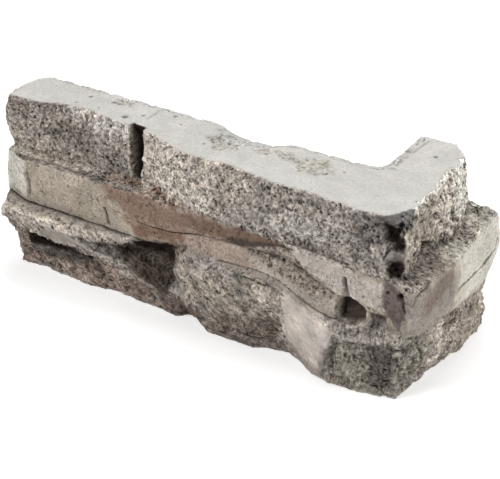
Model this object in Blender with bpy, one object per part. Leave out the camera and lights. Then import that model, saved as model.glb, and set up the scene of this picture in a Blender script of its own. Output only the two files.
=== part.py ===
"""Ledge stone corner: one casting with a long leg, a short return and three courses of rough stone.

The model is drawn with the inner corner of the L over x = 0, y = 0. The long leg runs along -X and
shows its broken face to -Y. The return runs along +Y and shows its face to +X. The flat bed is z = 0.
The finished mesh is then moved so that its origin is the middle of its bed. Lengths are in metres.
"""
import math
from dataclasses import dataclass

import bmesh
import bpy
import numpy as np
from mathutils import Vector, noise
from mathutils.geometry import delaunay_2d_cdt

# Legs, measured from the inner corner to the farthest point of each end
LONG_LEG = 0.213
SHORT_LEG = 0.0445

# Heights of the three courses
LOW_COURSE = 0.0435
SLAB_COURSE = 0.0270
TOP_COURSE = 0.0295
SLAB_TOP = LOW_COURSE + SLAB_COURSE
HEIGHT = SLAB_TOP + TOP_COURSE

# Depth of each course from the flat back, on the long leg and on the return
TOP_DEPTH = 0.038
SLAB_DEPTH = 0.0415
LOW_DEPTH = 0.044
TOP_RETURN = 0.030
SLAB_RETURN = 0.045
LOW_RETURN = 0.042

# The back: a fillet in the inner corner, and a top arris that came rough out of the mould
INNER_FILLET = 0.009
FILLET_STEPS = 5
ARRIS_WIDTH = 0.0035
ARRIS_DROP = 0.0006
BROKEN_ARRIS_AT = -0.072
BROKEN_ARRIS_REACH = 0.024
BROKEN_ARRIS_WIDTH = 0.0115
BROKEN_ARRIS_DROP = 0.0042
BROKEN_ARRIS_CORE = 0.35
ARRIS_LUMP = 0.35
ARRIS_MIDDLE = 0.5
ARRIS_MIDDLE_DROP = 0.42

# The slab's left end is broken off at a slant
END_CHAMFER_LENGTH = 0.018
END_CHAMFER_DEPTH = 0.0070

# The open joint between the two stones of the top course: a trough that leans to the right
CLEFT_AT = -0.1272
CLEFT_LEAN = 0.0032
CLEFT_HALF = 0.0043
CLEFT_WALL = 0.0011
CLEFT_DEPTH = 0.0080
CLEFT_SHARE_AT_RIM = 0.4
CLEFT_FULL_BELOW = 0.25
CLEFT_REACH = 0.0140

# A spall at the top of the outer corner: how far it runs along each face, and how far down
SPALL_FRONT = 0.0100
SPALL_SIDE = 0.0120
SPALL_DOWN = 0.0060

# Pockets in the top course: face, place along it, height, half width, half height and depth
POCKETS = {
    "below the spall": ("front", 0.0280, 0.0905, 0.0068, 0.0070, 0.0042),
    "pores at the corner": ("front", 0.0300, 0.0755, 0.0052, 0.0062, 0.0020),
    "crease above the dark foot": ("front", -0.0180, 0.0755, 0.0180, 0.0040, 0.0012),
    "dip in the left stone": ("front", -0.1700, 0.0850, 0.0160, 0.0075, 0.0013),
    "foot of the return": ("side", -0.0150, 0.0705, 0.0095, 0.0058, 0.0042),
    "near the corner": ("side", -0.0275, 0.0850, 0.0050, 0.0050, 0.0022),
    "upright pit": ("side", 0.0100, 0.0815, 0.0042, 0.0085, 0.0026),
    "far pit": ("side", 0.0260, 0.0850, 0.0045, 0.0070, 0.0018),
}
POCKET_FLOOR = 0.35

# The crack between the two stones of the slab course opens inwards by a share of its height
CLOSED_CRACK = 0.0010
CRACK_OPENING = 0.45
CRACK_DEEPEST = 0.0034

# Ridges of broken stone are worn round over about this width
WORN_WIDTH = 0.0018

# How near to its back the left end bulges most: 1 is half-way, and less is nearer
END_FULLNESS = 0.7

# How much each course swells between its upper and its lower edge
TOP_SWELL = 0.0014
TOP_END_SWELL = 0.0060
SLAB_SWELL = 0.0004

# Roughness of each course: height of the lumps, and the length of a large and a small lump
ROUGHNESS = {"top": 0.00110, "slab": 0.00022, "low": 0.00110}
END_ROUGHNESS = 0.0006
LARGE_LUMP = 0.013
SMALL_LUMP = 0.0065
LARGE_SHARE = 1.3
SMALL_SHARE = 0.8
LUMP_SHIFT = 0.37
CALM_COLUMNS = 3.0

# Upright lumps on the bulge of the low course and on the top of the return
STREAK_WIDTH = 0.0075
STREAK_LENGTH = 0.0190
BULGE_FROM = -0.098
BULGE_TO = -0.032
BULGE_EDGE = 0.006
BULGE_STREAKS = 0.0017
CRUST_STREAKS = 0.0019

# Shares of the front and of the return over which the outward direction turns round the corner
TURN_ON_FRONT = 0.05
TURN_ON_SIDE = 0.15

# Mesh: width of a face along the stone, and rows from the top of the stone to its bed
STATION = 0.0029
CLEAR_OF_STATION = 0.35
BACK_STATION = 0.0055
END_COLUMNS = 10
TOP_ROWS = 9
TOP_ROW_CROWDING = 1.25
SHELF_ROWS = 2
SLAB_UPPER_ROWS = 4
CRACK_ROWS = 2
SLAB_LOWER_ROWS = 4
UNDERCUT_ROWS = 2
LOW_ROWS = 16


class Line:
    """A line that runs round the stone: left end, front, corner, return and far end.

    left_end is (inset of the arris, inset at the back, bulge), far_end is the bulge of the far end,
    and back_z is the line's height at the back of both ends.
    """

    def left_point(self, share):
        """The point at a share of the way from the back, over the left end face, to its arris."""
        _, inset, bulge = self.left_end
        point = Vector((-LONG_LEG + inset, 0.0, self.back_z)).lerp(self.front_point(0.0), share)
        point.x -= bulge * math.sin(math.pi * share ** END_FULLNESS)
        return point

    def far_point(self, share):
        """The point at a share of the way from the far arris, over the end face, to the back."""
        arris = self.side_point(1.0)
        point = arris.lerp(Vector((0.0, arris.y, self.back_z)), share)
        point.y += self.far_end * math.sin(math.pi * share)
        return point


@dataclass
class Edge(Line):
    """An upper or lower edge of a course, drawn against the course's depth and level.

    front holds (x, out, up) and side holds (y, out, up): a place along the leg, how far the line
    stands out from the course's depth there, and how far it lies above its level. The corner is
    (out on the return, out on the front, up).
    """

    level: float
    depth: float
    return_depth: float
    front: list
    corner: tuple
    side: list
    left_end: tuple
    back_up: float
    far_inset: float = 0.0
    far_end: float = 0.0

    @property
    def back_z(self):
        return self.level + self.back_up

    def corner_point(self):
        out_x, out_y, up = self.corner
        return Vector((self.return_depth + out_x, -self.depth - out_y, self.level + up))

    def front_point(self, share):
        """The point at a share of the way from the left arris to the corner."""
        corner = self.corner_point()
        left = -LONG_LEG + self.left_end[0]
        x = left + (corner.x - left) * share
        knots = [k for k in self.front if k[0] < corner.x - STATION]
        places = [k[0] for k in knots] + [corner.x]
        outs = [k[1] for k in knots] + [-corner.y - self.depth]
        ups = [k[2] for k in knots] + [corner.z - self.level]
        out = np.interp(x, places, outs)
        up = np.interp(x, places, ups)
        return Vector((x, -self.depth - out, self.level + up))

    def side_point(self, share):
        """The point at a share of the way from the corner to the far arris."""
        corner = self.corner_point()
        far = SHORT_LEG - self.far_inset
        y = corner.y + (far - corner.y) * share
        knots = [k for k in self.side if k[0] > corner.y + STATION]
        places = [corner.y] + [k[0] for k in knots]
        outs = [corner.x - self.return_depth] + [k[1] for k in knots]
        ups = [corner.z - self.level] + [k[2] for k in knots]
        out = np.interp(y, places, outs)
        up = np.interp(y, places, ups)
        return Vector((self.return_depth + out, y, self.level + up))


TOP_RIM = Edge(
    level=HEIGHT, depth=TOP_DEPTH, return_depth=TOP_RETURN,
    front=[
        (-0.208, -0.0055, 0), (-0.190, -0.0065, 0), (-0.178, -0.0120, 0), (-0.160, -0.0135, 0),
        (-0.145, -0.0115, 0), (-0.123, -0.0105, 0), (-0.113, -0.0075, 0), (-0.105, -0.0035, 0),
        (-0.092, -0.0005, 0), (-0.060, -0.0005, 0), (-0.040, 0.0035, 0), (-0.020, 0.0025, 0),
        (0.010, 0.0045, 0), (0.022, 0.0030, 0),
    ],
    corner=(0.0035, 0.0020, 0),
    side=[
        (-0.028, 0.0010, 0), (-0.012, 0.0002, 0), (0.0165, -0.0010, 0), (0.0265, -0.0010, 0),
        (0.0335, -0.0040, 0), (0.0405, -0.0080, 0), (0.0440, -0.0100, 0),
    ],
    left_end=(0.0045, 0.0110, 0.0050), back_up=0.0, far_inset=0.0015,
)
TOP_FOOT = Edge(
    level=SLAB_TOP, depth=TOP_DEPTH, return_depth=TOP_RETURN,
    front=[
        (-0.210, -0.0065, -0.0010), (-0.180, -0.0065, -0.0010), (-0.150, -0.0065, 0.0005),
        (-0.130, -0.0065, 0.0020), (-0.120, -0.0065, 0.0020), (-0.113, -0.0045, 0.0015),
        (-0.105, -0.0010, 0.0013), (-0.095, 0.0038, 0.0016), (-0.080, 0.0045, 0.0018),
        (-0.060, 0.0050, 0.0015), (-0.040, 0.0055, 0.0002), (-0.020, 0.0065, -0.0004),
        (-0.010, 0.0065, 0.0003), (0.002, 0.0075, -0.0004), (0.025, 0.0080, 0.0003),
    ],
    corner=(0.0040, 0.0050, -0.0005),
    side=[
        (-0.028, 0.0012, -0.0035), (-0.015, 0.0000, -0.0038), (0.001, 0.0008, -0.0040),
        (0.009, 0.0050, -0.0040), (0.013, 0.0066, -0.0040), (0.025, 0.0050, -0.0040),
        (0.034, 0.0015, -0.0035), (0.0445, -0.0030, -0.0006),
    ],
    left_end=(0.004, 0.009, 0.0015), back_up=0.0015,
)
SLAB_HEAD = Edge(
    level=SLAB_TOP, depth=SLAB_DEPTH, return_depth=SLAB_RETURN,
    front=[
        (-0.212, 0.0000, -0.0025), (-0.204, 0.0000, 0.0000), (-0.110, 0.0000, 0.0000),
        (-0.095, 0.0005, -0.0002), (-0.080, 0.0008, -0.0003), (-0.060, 0.0008, -0.0007),
        (-0.045, 0.0005, -0.0017), (-0.033, 0.0005, -0.0025), (-0.028, 0.0022, -0.0021),
        (-0.010, 0.0026, -0.0011), (0.002, 0.0026, -0.0018), (0.025, 0.0035, -0.0012),
    ],
    corner=(-0.0030, 0.0042, -0.0035),
    side=[
        (-0.035, -0.0015, -0.0042), (-0.020, -0.0005, -0.0045), (0.000, 0.0005, -0.0045),
        (0.022, -0.0010, -0.0045), (0.0445, -0.0010, -0.0020),
    ],
    left_end=(0.0045, 0.007, 0.0010), back_up=-0.0020, far_end=0.0005,
)
CRACK_UPPER = Edge(
    level=LOW_COURSE, depth=SLAB_DEPTH, return_depth=SLAB_RETURN,
    front=[
        (-0.212, 0.0000, 0.0115), (-0.125, 0.0000, 0.0110), (-0.110, 0.0008, 0.0110),
        (-0.100, 0.0010, 0.0115), (-0.090, 0.0012, 0.0135), (-0.083, 0.0013, 0.0155),
        (-0.060, 0.0015, 0.0172), (-0.050, 0.0015, 0.0178), (-0.040, 0.0015, 0.0195),
        (-0.032, 0.0012, 0.0215), (-0.028, 0.0030, 0.0215), (-0.020, 0.0028, 0.0194),
        (-0.013, 0.0030, 0.0152), (-0.007, 0.0030, 0.0122), (0.000, 0.0028, 0.0098),
        (0.0035, 0.0022, 0.0085), (0.007, 0.0005, 0.0085), (0.013, 0.0022, 0.0080),
        (0.018, 0.0028, 0.0050), (0.028, 0.0022, 0.0060), (0.037, 0.0025, 0.0060),
    ],
    corner=(-0.0040, 0.0052, 0.0060),
    side=[
        (-0.038, -0.0005, 0.0055), (-0.020, 0.0008, 0.0050), (0.000, 0.0012, 0.0032),
        (0.022, 0.0012, 0.0044), (0.032, 0.0014, 0.0042), (0.0445, 0.0016, 0.0085),
    ],
    left_end=(0.0005, 0.005, 0.0005), back_up=0.0110, far_end=0.0008,
)
CRACK_LOWER = Edge(
    level=LOW_COURSE, depth=SLAB_DEPTH, return_depth=SLAB_RETURN,
    front=[
        (-0.212, 0.0000, 0.0105), (-0.125, 0.0000, 0.0100), (-0.110, 0.0000, 0.0102),
        (-0.100, -0.0002, 0.0107), (-0.090, -0.0002, 0.0127), (-0.083, -0.0003, 0.0147),
        (-0.064, -0.0005, 0.0160), (-0.057, -0.0002, 0.0150), (-0.050, 0.0000, 0.0135),
        (-0.040, 0.0003, 0.0115), (-0.030, 0.0008, 0.0098), (-0.020, 0.0020, 0.0092),
        (-0.015, 0.0024, 0.0080), (-0.007, 0.0022, 0.0052), (0.0005, 0.0020, 0.0042),
        (0.0030, -0.0035, 0.0020), (0.012, -0.0030, 0.0010), (0.0155, 0.0015, 0.0025),
        (0.0190, 0.0020, 0.0020), (0.0215, -0.0020, 0.0015), (0.0260, -0.0012, 0.0012),
        (0.0300, 0.0020, 0.0025), (0.037, 0.0028, 0.0030),
    ],
    corner=(-0.0042, 0.0052, 0.0050),
    side=[
        (-0.038, -0.0005, 0.0045), (-0.020, 0.0006, 0.0042), (0.000, 0.0010, 0.0025),
        (0.022, 0.0012, 0.0036), (0.032, 0.0016, 0.0034), (0.0445, 0.0018, 0.0075),
    ],
    left_end=(0.0005, 0.005, 0.0005), back_up=0.0090, far_end=0.0008,
)
SLAB_FOOT = Edge(
    level=LOW_COURSE, depth=SLAB_DEPTH, return_depth=SLAB_RETURN,
    front=[
        (-0.212, 0.0000, 0.0000), (-0.115, 0.0000, 0.0005), (-0.110, 0.0004, 0.0015),
        (-0.100, 0.0006, 0.0030), (-0.092, 0.0006, 0.0045), (-0.070, 0.0008, 0.0050),
        (-0.060, 0.0008, 0.0035), (-0.047, 0.0010, 0.0050), (-0.038, 0.0012, 0.0035),
        (-0.030, 0.0014, 0.0005), (-0.019, 0.0020, -0.0005), (-0.0135, 0.0022, -0.0035),
        (-0.0075, 0.0022, -0.0055), (0.0005, 0.0020, -0.0060), (0.0030, -0.0015, -0.0055),
        (0.012, 0.0000, -0.0035), (0.018, 0.0015, -0.0015), (0.024, 0.0010, -0.0015),
        (0.034, 0.0025, 0.0003), (0.038, 0.0035, 0.0000),
    ],
    corner=(-0.0042, 0.0052, -0.0002),
    side=[
        (-0.040, -0.0008, -0.0007), (-0.025, 0.0000, -0.0030), (-0.016, 0.0000, -0.0035),
        (-0.007, -0.0002, -0.0065), (0.011, -0.0004, -0.0100), (0.030, -0.0015, -0.0145),
        (0.0445, -0.0035, -0.0145),
    ],
    left_end=(0.0005, 0.005, 0.0005), back_up=0.0000, far_end=0.0005,
)
LOW_HEAD = Edge(
    level=LOW_COURSE, depth=LOW_DEPTH, return_depth=LOW_RETURN,
    front=[
        (-0.212, 0, -0.0010), (-0.125, 0, -0.0010), (-0.115, 0, -0.0003), (-0.110, 0, 0.0005),
        (-0.100, 0, 0.0020), (-0.092, 0, 0.0033), (-0.070, 0, 0.0038), (-0.060, 0, 0.0023),
        (-0.047, 0, 0.0038), (-0.038, 0, 0.0023), (-0.030, 0, -0.0007), (-0.019, 0, -0.0017),
        (-0.0135, 0, -0.0047), (-0.0075, 0, -0.0068), (0.0005, 0, -0.0075), (0.012, 0, -0.0050),
        (0.018, 0, -0.0030), (0.024, 0, -0.0030), (0.034, 0, -0.0015),
    ],
    corner=(-0.0045, 0.0040, -0.0020),
    side=[
        (-0.040, 0, -0.0020), (-0.025, 0, -0.0042), (-0.016, 0, -0.0047), (-0.007, 0, -0.0077),
        (0.011, 0, -0.0112), (0.030, 0, -0.0158), (0.0445, 0, -0.0170),
    ],
    left_end=(0.009, 0.010, 0.0010), back_up=-0.0020,
)

# The broken face of the low course on the long leg, drawn as ridges and hollows. Between them the
# stone breaks in flat facets. Each point is (x, z, out from the course's depth).
FRONT_RIDGES = {
    "bed edge": [
        (-0.220, 0.000, -0.0062), (-0.206, 0.000, -0.0062), (-0.183, 0.000, -0.0078),
        (-0.168, 0.000, -0.0062), (-0.139, 0.000, -0.0085), (-0.119, 0.000, -0.0080),
        (-0.0985, 0.000, -0.0070), (-0.094, 0.000, -0.0112), (-0.088, 0.000, -0.0112),
        (-0.0765, 0.000, -0.0032), (-0.065, 0.000, -0.0035), (-0.049, 0.000, -0.0040),
        (-0.043, 0.000, -0.0075), (-0.031, 0.000, -0.0098), (-0.0225, 0.000, -0.0065),
        (-0.0119, 0.000, -0.0002), (-0.0015, 0.000, 0.0018), (0.005, 0.000, 0.0015),
        (0.015, 0.000, 0.0000), (0.025, 0.000, -0.0023), (0.033, 0.000, -0.0046),
        (0.050, 0.000, -0.0046),
    ],
    "edge of the upper shelf": [
        (-0.220, 0.036, 0.0050), (-0.2065, 0.035, 0.0053), (-0.200, 0.0405, 0.0070),
        (-0.189, 0.0405, 0.0078), (-0.175, 0.0400, 0.0082), (-0.160, 0.0395, 0.0078),
        (-0.147, 0.0395, 0.0072), (-0.135, 0.0400, 0.0050), (-0.126, 0.0410, 0.0005),
        (-0.119, 0.0420, -0.0050),
    ],
    "rib under the spur": [
        (-0.189, 0.0405, 0.0078), (-0.190, 0.030, 0.0035), (-0.190, 0.020, -0.0010),
        (-0.189, 0.000, -0.0088),
    ],
    "left arris": [
        (-0.2065, 0.035, 0.0053), (-0.2050, 0.0276, -0.0010), (-0.2025, 0.020, -0.0030),
        (-0.203, 0.012, -0.0035), (-0.206, 0.000, -0.0070),
    ],
    "lower edge of the grey facet": [
        (-0.182, 0.0305, 0.0050), (-0.170, 0.0300, 0.0052), (-0.158, 0.0290, 0.0045),
        (-0.146, 0.0270, 0.0030),
    ],
    "undercut below it": [
        (-0.184, 0.0270, -0.0020), (-0.170, 0.0260, -0.0025), (-0.156, 0.0245, -0.0020),
        (-0.146, 0.0235, -0.0010),
    ],
    "long slanting ridge": [
        (-0.160, 0.0395, 0.0078), (-0.150, 0.0340, 0.0055), (-0.140, 0.0300, 0.0040),
        (-0.130, 0.0280, 0.0030), (-0.120, 0.0250, 0.0010), (-0.111, 0.0205, -0.0010),
        (-0.103, 0.0165, -0.0025),
    ],
    "foot of the long ridge": [
        (-0.160, 0.0140, -0.0055), (-0.140, 0.0150, -0.0050), (-0.125, 0.0140, -0.0045),
        (-0.112, 0.0120, -0.0055), (-0.101, 0.0100, -0.0050),
    ],
    "blue facet": [(-0.150, 0.0385, 0.0060), (-0.134, 0.0350, 0.0015), (-0.131, 0.0300, 0.0020)],
    "rim of the deep hollow": [
        (-0.131, 0.0370, -0.0010), (-0.122, 0.0400, -0.0040), (-0.112, 0.0430, -0.0060),
        (-0.104, 0.0455, -0.0060), (-0.096, 0.0470, -0.0040),
    ],
    "floor of the deep hollow": [
        (-0.126, 0.0330, -0.0060), (-0.117, 0.0350, -0.0105), (-0.107, 0.0370, -0.0115),
        (-0.102, 0.0300, -0.0110), (-0.108, 0.0260, -0.0095), (-0.1185, 0.0300, -0.0085),
    ],
    "pocket at its foot": [(-0.1035, 0.0240, -0.0115), (-0.1010, 0.0195, -0.0100)],
    "left edge of the bulge": [
        (-0.0885, 0.0475, 0.0005), (-0.0905, 0.0400, 0.0005), (-0.0960, 0.0330, -0.0015),
        (-0.0930, 0.0260, -0.0005), (-0.0970, 0.0180, -0.0030), (-0.0940, 0.0080, -0.0070),
        (-0.0885, 0.0000, -0.0125),
    ],
    "crown of the bulge": [
        (-0.086, 0.0480, 0.0010), (-0.084, 0.0420, 0.0040), (-0.076, 0.0390, 0.0055),
        (-0.066, 0.0380, 0.0060), (-0.056, 0.0390, 0.0058), (-0.046, 0.0400, 0.0050),
        (-0.038, 0.0380, 0.0035),
    ],
    "waist of the bulge": [
        (-0.090, 0.0220, 0.0015), (-0.078, 0.0210, 0.0035), (-0.066, 0.0200, 0.0038),
        (-0.056, 0.0195, 0.0032), (-0.047, 0.0180, 0.0015), (-0.040, 0.0150, -0.0020),
    ],
    "lower bulge": [
        (-0.080, 0.0080, -0.0010), (-0.068, 0.0080, 0.0008), (-0.055, 0.0080, 0.0000),
        (-0.046, 0.0080, -0.0030),
    ],
    "valley right of the bulge": [
        (-0.0290, 0.0440, 0.0000), (-0.0300, 0.0370, 0.0005), (-0.0330, 0.0250, -0.0018),
        (-0.0365, 0.0130, -0.0055), (-0.0350, 0.0000, -0.0090),
    ],
    "smooth facet, upper edge": [
        (-0.0220, 0.0410, 0.0010), (-0.0145, 0.0375, 0.0025), (-0.0080, 0.0350, 0.0040),
        (-0.0030, 0.0320, 0.0045),
    ],
    "smooth facet, right edge": [
        (-0.0030, 0.0320, 0.0045), (-0.0010, 0.0260, 0.0045), (-0.0030, 0.0180, 0.0040),
        (-0.0045, 0.0100, 0.0032), (-0.0080, 0.0030, 0.0020), (-0.0119, 0.0000, -0.0002),
    ],
    "smooth facet, middle": [(-0.0240, 0.0220, -0.0002), (-0.0250, 0.0080, -0.0040)],
    "step beside the smooth facet": [
        (0.0010, 0.0300, 0.0030), (0.0020, 0.0250, 0.0012), (0.0000, 0.0170, 0.0010),
        (-0.0020, 0.0090, 0.0005), (-0.0050, 0.0025, 0.0005),
    ],
    "sloping shelf at the corner": [
        (0.0020, 0.0345, 0.0020), (0.0080, 0.0315, 0.0050), (0.0180, 0.0340, 0.0058),
        (0.0280, 0.0360, 0.0060), (0.0370, 0.0405, 0.0050),
    ],
    "under the shelf": [
        (0.0080, 0.0270, 0.0030), (0.0170, 0.0280, 0.0020), (0.0270, 0.0290, 0.0015),
        (0.0325, 0.0310, 0.0025),
    ],
    "knob left of the corner": [
        (0.0060, 0.0170, 0.0022), (0.0120, 0.0120, 0.0030), (0.0080, 0.0060, 0.0025),
    ],
    "dent left of the corner": [
        (0.0200, 0.0240, -0.0005), (0.0240, 0.0160, -0.0008), (0.0270, 0.0090, -0.0015),
    ],
    "corner arris": [
        (0.0390, 0.0435, 0.0040), (0.0370, 0.0405, 0.0050), (0.0325, 0.0310, 0.0025),
        (0.0330, 0.0150, -0.0020), (0.0330, 0.0000, -0.0046),
    ],
}

# The same for the return: each point is (y, z, out from the course's depth there).
SIDE_RIDGES = {
    "corner arris": [
        (-0.0480, 0.0435, -0.0030), (-0.0490, 0.0405, -0.0050), (-0.0465, 0.0310, -0.0095),
        (-0.0420, 0.0150, -0.0090), (-0.0394, 0.0000, -0.0090),
    ],
    "shoulder": [
        (-0.0400, 0.0400, 0.0002), (-0.0250, 0.0370, 0.0022), (-0.0050, 0.0340, 0.0028),
        (0.0110, 0.0310, 0.0018), (0.0280, 0.0260, -0.0003), (0.0445, 0.0262, -0.0032),
    ],
    "waist": [
        (-0.0400, 0.0220, -0.0040), (-0.0250, 0.0200, 0.0000), (-0.0050, 0.0190, 0.0022),
        (0.0120, 0.0180, 0.0028), (0.0300, 0.0160, 0.0018), (0.0445, 0.0156, 0.0000),
    ],
    "notch at the far arris": [(0.0360, 0.0230, -0.0005), (0.0445, 0.0209, -0.0025)],
    "low swelling": [
        (-0.0330, 0.0080, -0.0068), (-0.0180, 0.0080, -0.0045), (0.0000, 0.0080, -0.0018),
        (0.0140, 0.0080, 0.0012), (0.0300, 0.0080, 0.0012), (0.0445, 0.0096, 0.0006),
    ],
    "bed edge": [
        (-0.0394, 0.0000, -0.0090), (-0.0314, 0.0000, -0.0082), (-0.0108, 0.0000, -0.0065),
        (-0.0020, 0.0000, -0.0052), (0.0080, 0.0000, -0.0023), (0.0144, 0.0000, -0.0003),
        (0.0300, 0.0000, 0.0000), (0.0445, 0.0000, 0.0002),
    ],
}

# Outline of the low course's left arris: (z, inset from the end of the leg)
LOW_LEFT_ARRIS = [
    (0.0000, 0.0070), (0.0120, 0.0100), (0.0200, 0.0105), (0.0276, 0.0080), (0.0350, 0.0065),
    (0.0425, 0.0090),
]
# Outline of the low course's outer corner: (z, out on the return, out on the front)
LOW_CORNER_ARRIS = [
    (0.0000, -0.0090, -0.0046), (0.0150, -0.0090, -0.0020), (0.0310, -0.0095, 0.0025),
    (0.0405, -0.0050, 0.0050), (0.0415, -0.0045, 0.0040),
]


class FacetedFace:
    """Flat facets stretched between named ridges, read as a height over a place on the face."""

    def __init__(self, ridges):
        places = []
        heights = []
        edges = []
        for ridge in ridges.values():
            start = len(places)
            places += [Vector((u, v)) for u, v, out in ridge]
            heights += [out for u, v, out in ridge]
            edges += [(start + i, start + i + 1) for i in range(len(ridge) - 1)]
        merge_distance = 1e-5
        points, _, triangles, sources, _, _ = delaunay_2d_cdt(places, edges, [], 0, merge_distance)
        self.points = np.array([tuple(p) for p in points])
        self.triangles = np.array(triangles)
        self.heights = np.array([
            heights[s[0]] if s else self.height_on_edge(p, places, heights, edges)
            for p, s in zip(points, sources)
        ])

    @staticmethod
    def height_on_edge(point, places, heights, edges):
        """Height of a crossing point of two ridges: read from the ridge edge it lies on."""
        best = None
        for a, b in edges:
            along = places[b] - places[a]
            share = max(0.0, min(1.0, (point - places[a]).dot(along) / along.length_squared))
            distance = (places[a].lerp(places[b], share) - point).length
            if best is None or distance < best[0]:
                best = (distance, heights[a] + (heights[b] - heights[a]) * share)
        return best[1]

    def worn_height(self, u, v):
        """Height at a place, evened out over the worn width of a ridge."""
        reach = WORN_WIDTH
        around = [(0, 0), (reach, 0), (-reach, 0), (0, reach), (0, -reach)]
        return sum(self.height(u + du, v + dv) for du, dv in around) / len(around)

    def height(self, u, v):
        """Height at a place, or at the nearest facet if the place lies outside all of them."""
        a, b, c = (self.points[self.triangles[:, i]] for i in range(3))
        area = (b[:, 0] - a[:, 0]) * (c[:, 1] - a[:, 1]) - (c[:, 0] - a[:, 0]) * (b[:, 1] - a[:, 1])
        share_b = ((u - a[:, 0]) * (c[:, 1] - a[:, 1]) - (c[:, 0] - a[:, 0]) * (v - a[:, 1])) / area
        share_c = ((b[:, 0] - a[:, 0]) * (v - a[:, 1]) - (u - a[:, 0]) * (b[:, 1] - a[:, 1])) / area
        share_a = 1.0 - share_b - share_c
        inside = np.minimum(np.minimum(share_a, share_b), share_c)
        best = int(np.argmax(inside))
        shares = np.clip([share_a[best], share_b[best], share_c[best]], 0.0, 1.0)
        shares /= shares.sum()
        return float(shares @ self.heights[self.triangles[best]])


def smooth_step(low, high, value):
    """0 below low, 1 above high, and an even curve between."""
    share = min(1.0, max(0.0, (value - low) / (high - low)))
    return share * share * (3.0 - 2.0 * share)


def stations(start, end, spacing, extra=()):
    """Shares of the way from start to end, about one spacing apart, with extra places between them."""
    count = max(2, round((end - start) / spacing))
    places = [start + (end - start) * i / count for i in range(count + 1)]
    clear = spacing * CLEAR_OF_STATION
    inner = [p for p in extra if start + clear < p < end - clear]
    kept = [p for p in places if all(abs(p - q) > clear for q in inner)]
    return [(p - start) / (end - start) for p in sorted(kept + inner)]


class Columns:
    """The columns of the outer face, from the back of the left end round to the back of the far end."""

    def __init__(self):
        left = -LONG_LEG + SLAB_FOOT.left_end[0]
        corner = SLAB_FOOT.corner_point()
        wall = [
            CLEFT_AT + side * (CLEFT_HALF + step) for side in (-1, 1) for step in (-CLEFT_WALL, CLEFT_WALL)
        ]
        end_shares = [i / END_COLUMNS for i in range(END_COLUMNS)]
        self.list = [("left", share) for share in end_shares]
        self.list += [("front", s) for s in stations(left, corner.x, STATION, wall)]
        self.list += [("side", s) for s in stations(corner.y, SHORT_LEG, STATION)[1:]]
        self.list += [("far", share + 1.0 / END_COLUMNS) for share in end_shares]

    def on_edge(self, edge, column):
        face, share = self.list[column]
        return getattr(edge, face + "_point")(share)

    def outward(self, column):
        """The level direction in which a column's face looks."""
        face, share = self.list[column]
        ends = {"left": Vector((-1, 0, 0)), "far": Vector((0, 1, 0))}
        if face in ends:
            return ends[face]
        turn = 0.25 * math.pi
        if face == "front":
            angle = turn * smooth_step(1.0 - TURN_ON_FRONT, 1.0, share)
        else:
            angle = 2.0 * turn - turn * smooth_step(TURN_ON_SIDE, 0.0, share)
        return Vector((math.sin(angle), -math.cos(angle), 0))


def lumps(point, height):
    """Rough stone: large and small lumps, the same on every run."""
    place = point + Vector((LUMP_SHIFT, 0, 0))
    large = noise.noise(place / LARGE_LUMP)
    small = noise.noise(place / SMALL_LUMP)
    return height * (LARGE_SHARE * large + SMALL_SHARE * small)


def upright_lumps(point, kind, face):
    """The long upright lumps that two of the broken faces have."""
    height = 0.0
    if kind == "low" and face == "front":
        left = smooth_step(BULGE_FROM, BULGE_FROM + BULGE_EDGE, point.x)
        right = smooth_step(BULGE_TO, BULGE_TO - BULGE_EDGE, point.x)
        height = BULGE_STREAKS * left * right
    if kind == "top" and face == "side":
        height = CRUST_STREAKS
    place = Vector((point.x / STREAK_WIDTH, point.y / STREAK_WIDTH, point.z / STREAK_LENGTH))
    return height * noise.noise(place)


def cut_cleft(point):
    """Lean the columns near the open joint of the top course with it, and push its floor in."""
    down = (HEIGHT - point.z) / TOP_COURSE
    off = point.x - CLEFT_AT
    near = smooth_step(CLEFT_REACH, CLEFT_HALF, abs(off))
    trough = smooth_step(CLEFT_HALF + CLEFT_WALL, CLEFT_HALF - CLEFT_WALL, abs(off))
    rim_share = CLEFT_SHARE_AT_RIM + (1.0 - CLEFT_SHARE_AT_RIM) * smooth_step(0.0, CLEFT_FULL_BELOW, down)
    return point + Vector((CLEFT_LEAN * down * near, CLEFT_DEPTH * trough * rim_share, 0))


def press_pockets(point, face):
    """Push a point of the top course into the stone where a pocket is broken out of its face."""
    for side, along, height, half_width, half_height, depth in POCKETS.values():
        if side == face:
            place = point.x if face == "front" else point.y
            reach = math.hypot((place - along) / half_width, (point.z - height) / half_height)
            step = depth * smooth_step(1.0, POCKET_FLOOR, reach)
            point = point + (Vector((0, step, 0)) if face == "front" else Vector((-step, 0, 0)))
    return point


def cut_spall(point):
    """Move a point of the top course level inwards to the slanting facet at the outer corner."""
    corner = TOP_RIM.corner_point()
    a = corner + Vector((-SPALL_FRONT, 0, 0))
    b = corner + Vector((0, SPALL_SIDE, 0))
    c = corner + Vector((0, 0, -SPALL_DOWN))
    normal = (b - a).cross(c - a).normalized()
    if normal.x < 0:
        normal.negate()
    beyond = (point - a).dot(normal)
    if beyond > 0:
        level = Vector((normal.x, normal.y, 0))
        point = point - level * (beyond / level.length_squared)
    return point


def cut_end_chamfer(point, face):
    """Keep the slab's front and its left end behind the slanting break between them."""
    from_end = point.x + LONG_LEG - SLAB_FOOT.left_end[0]
    if face == "left":
        point.y *= 1.0 - END_CHAMFER_DEPTH / SLAB_DEPTH
    elif from_end < END_CHAMFER_LENGTH:
        limit = SLAB_DEPTH - END_CHAMFER_DEPTH * (1.0 - from_end / END_CHAMFER_LENGTH)
        point.y = max(point.y, -limit)
    return point


def read_profile(profile, z, field):
    """A field of an upright profile at a height. Its points rise, and their first field is z."""
    return float(np.interp(z, [k[0] for k in profile], [k[field] for k in profile]))


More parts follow.
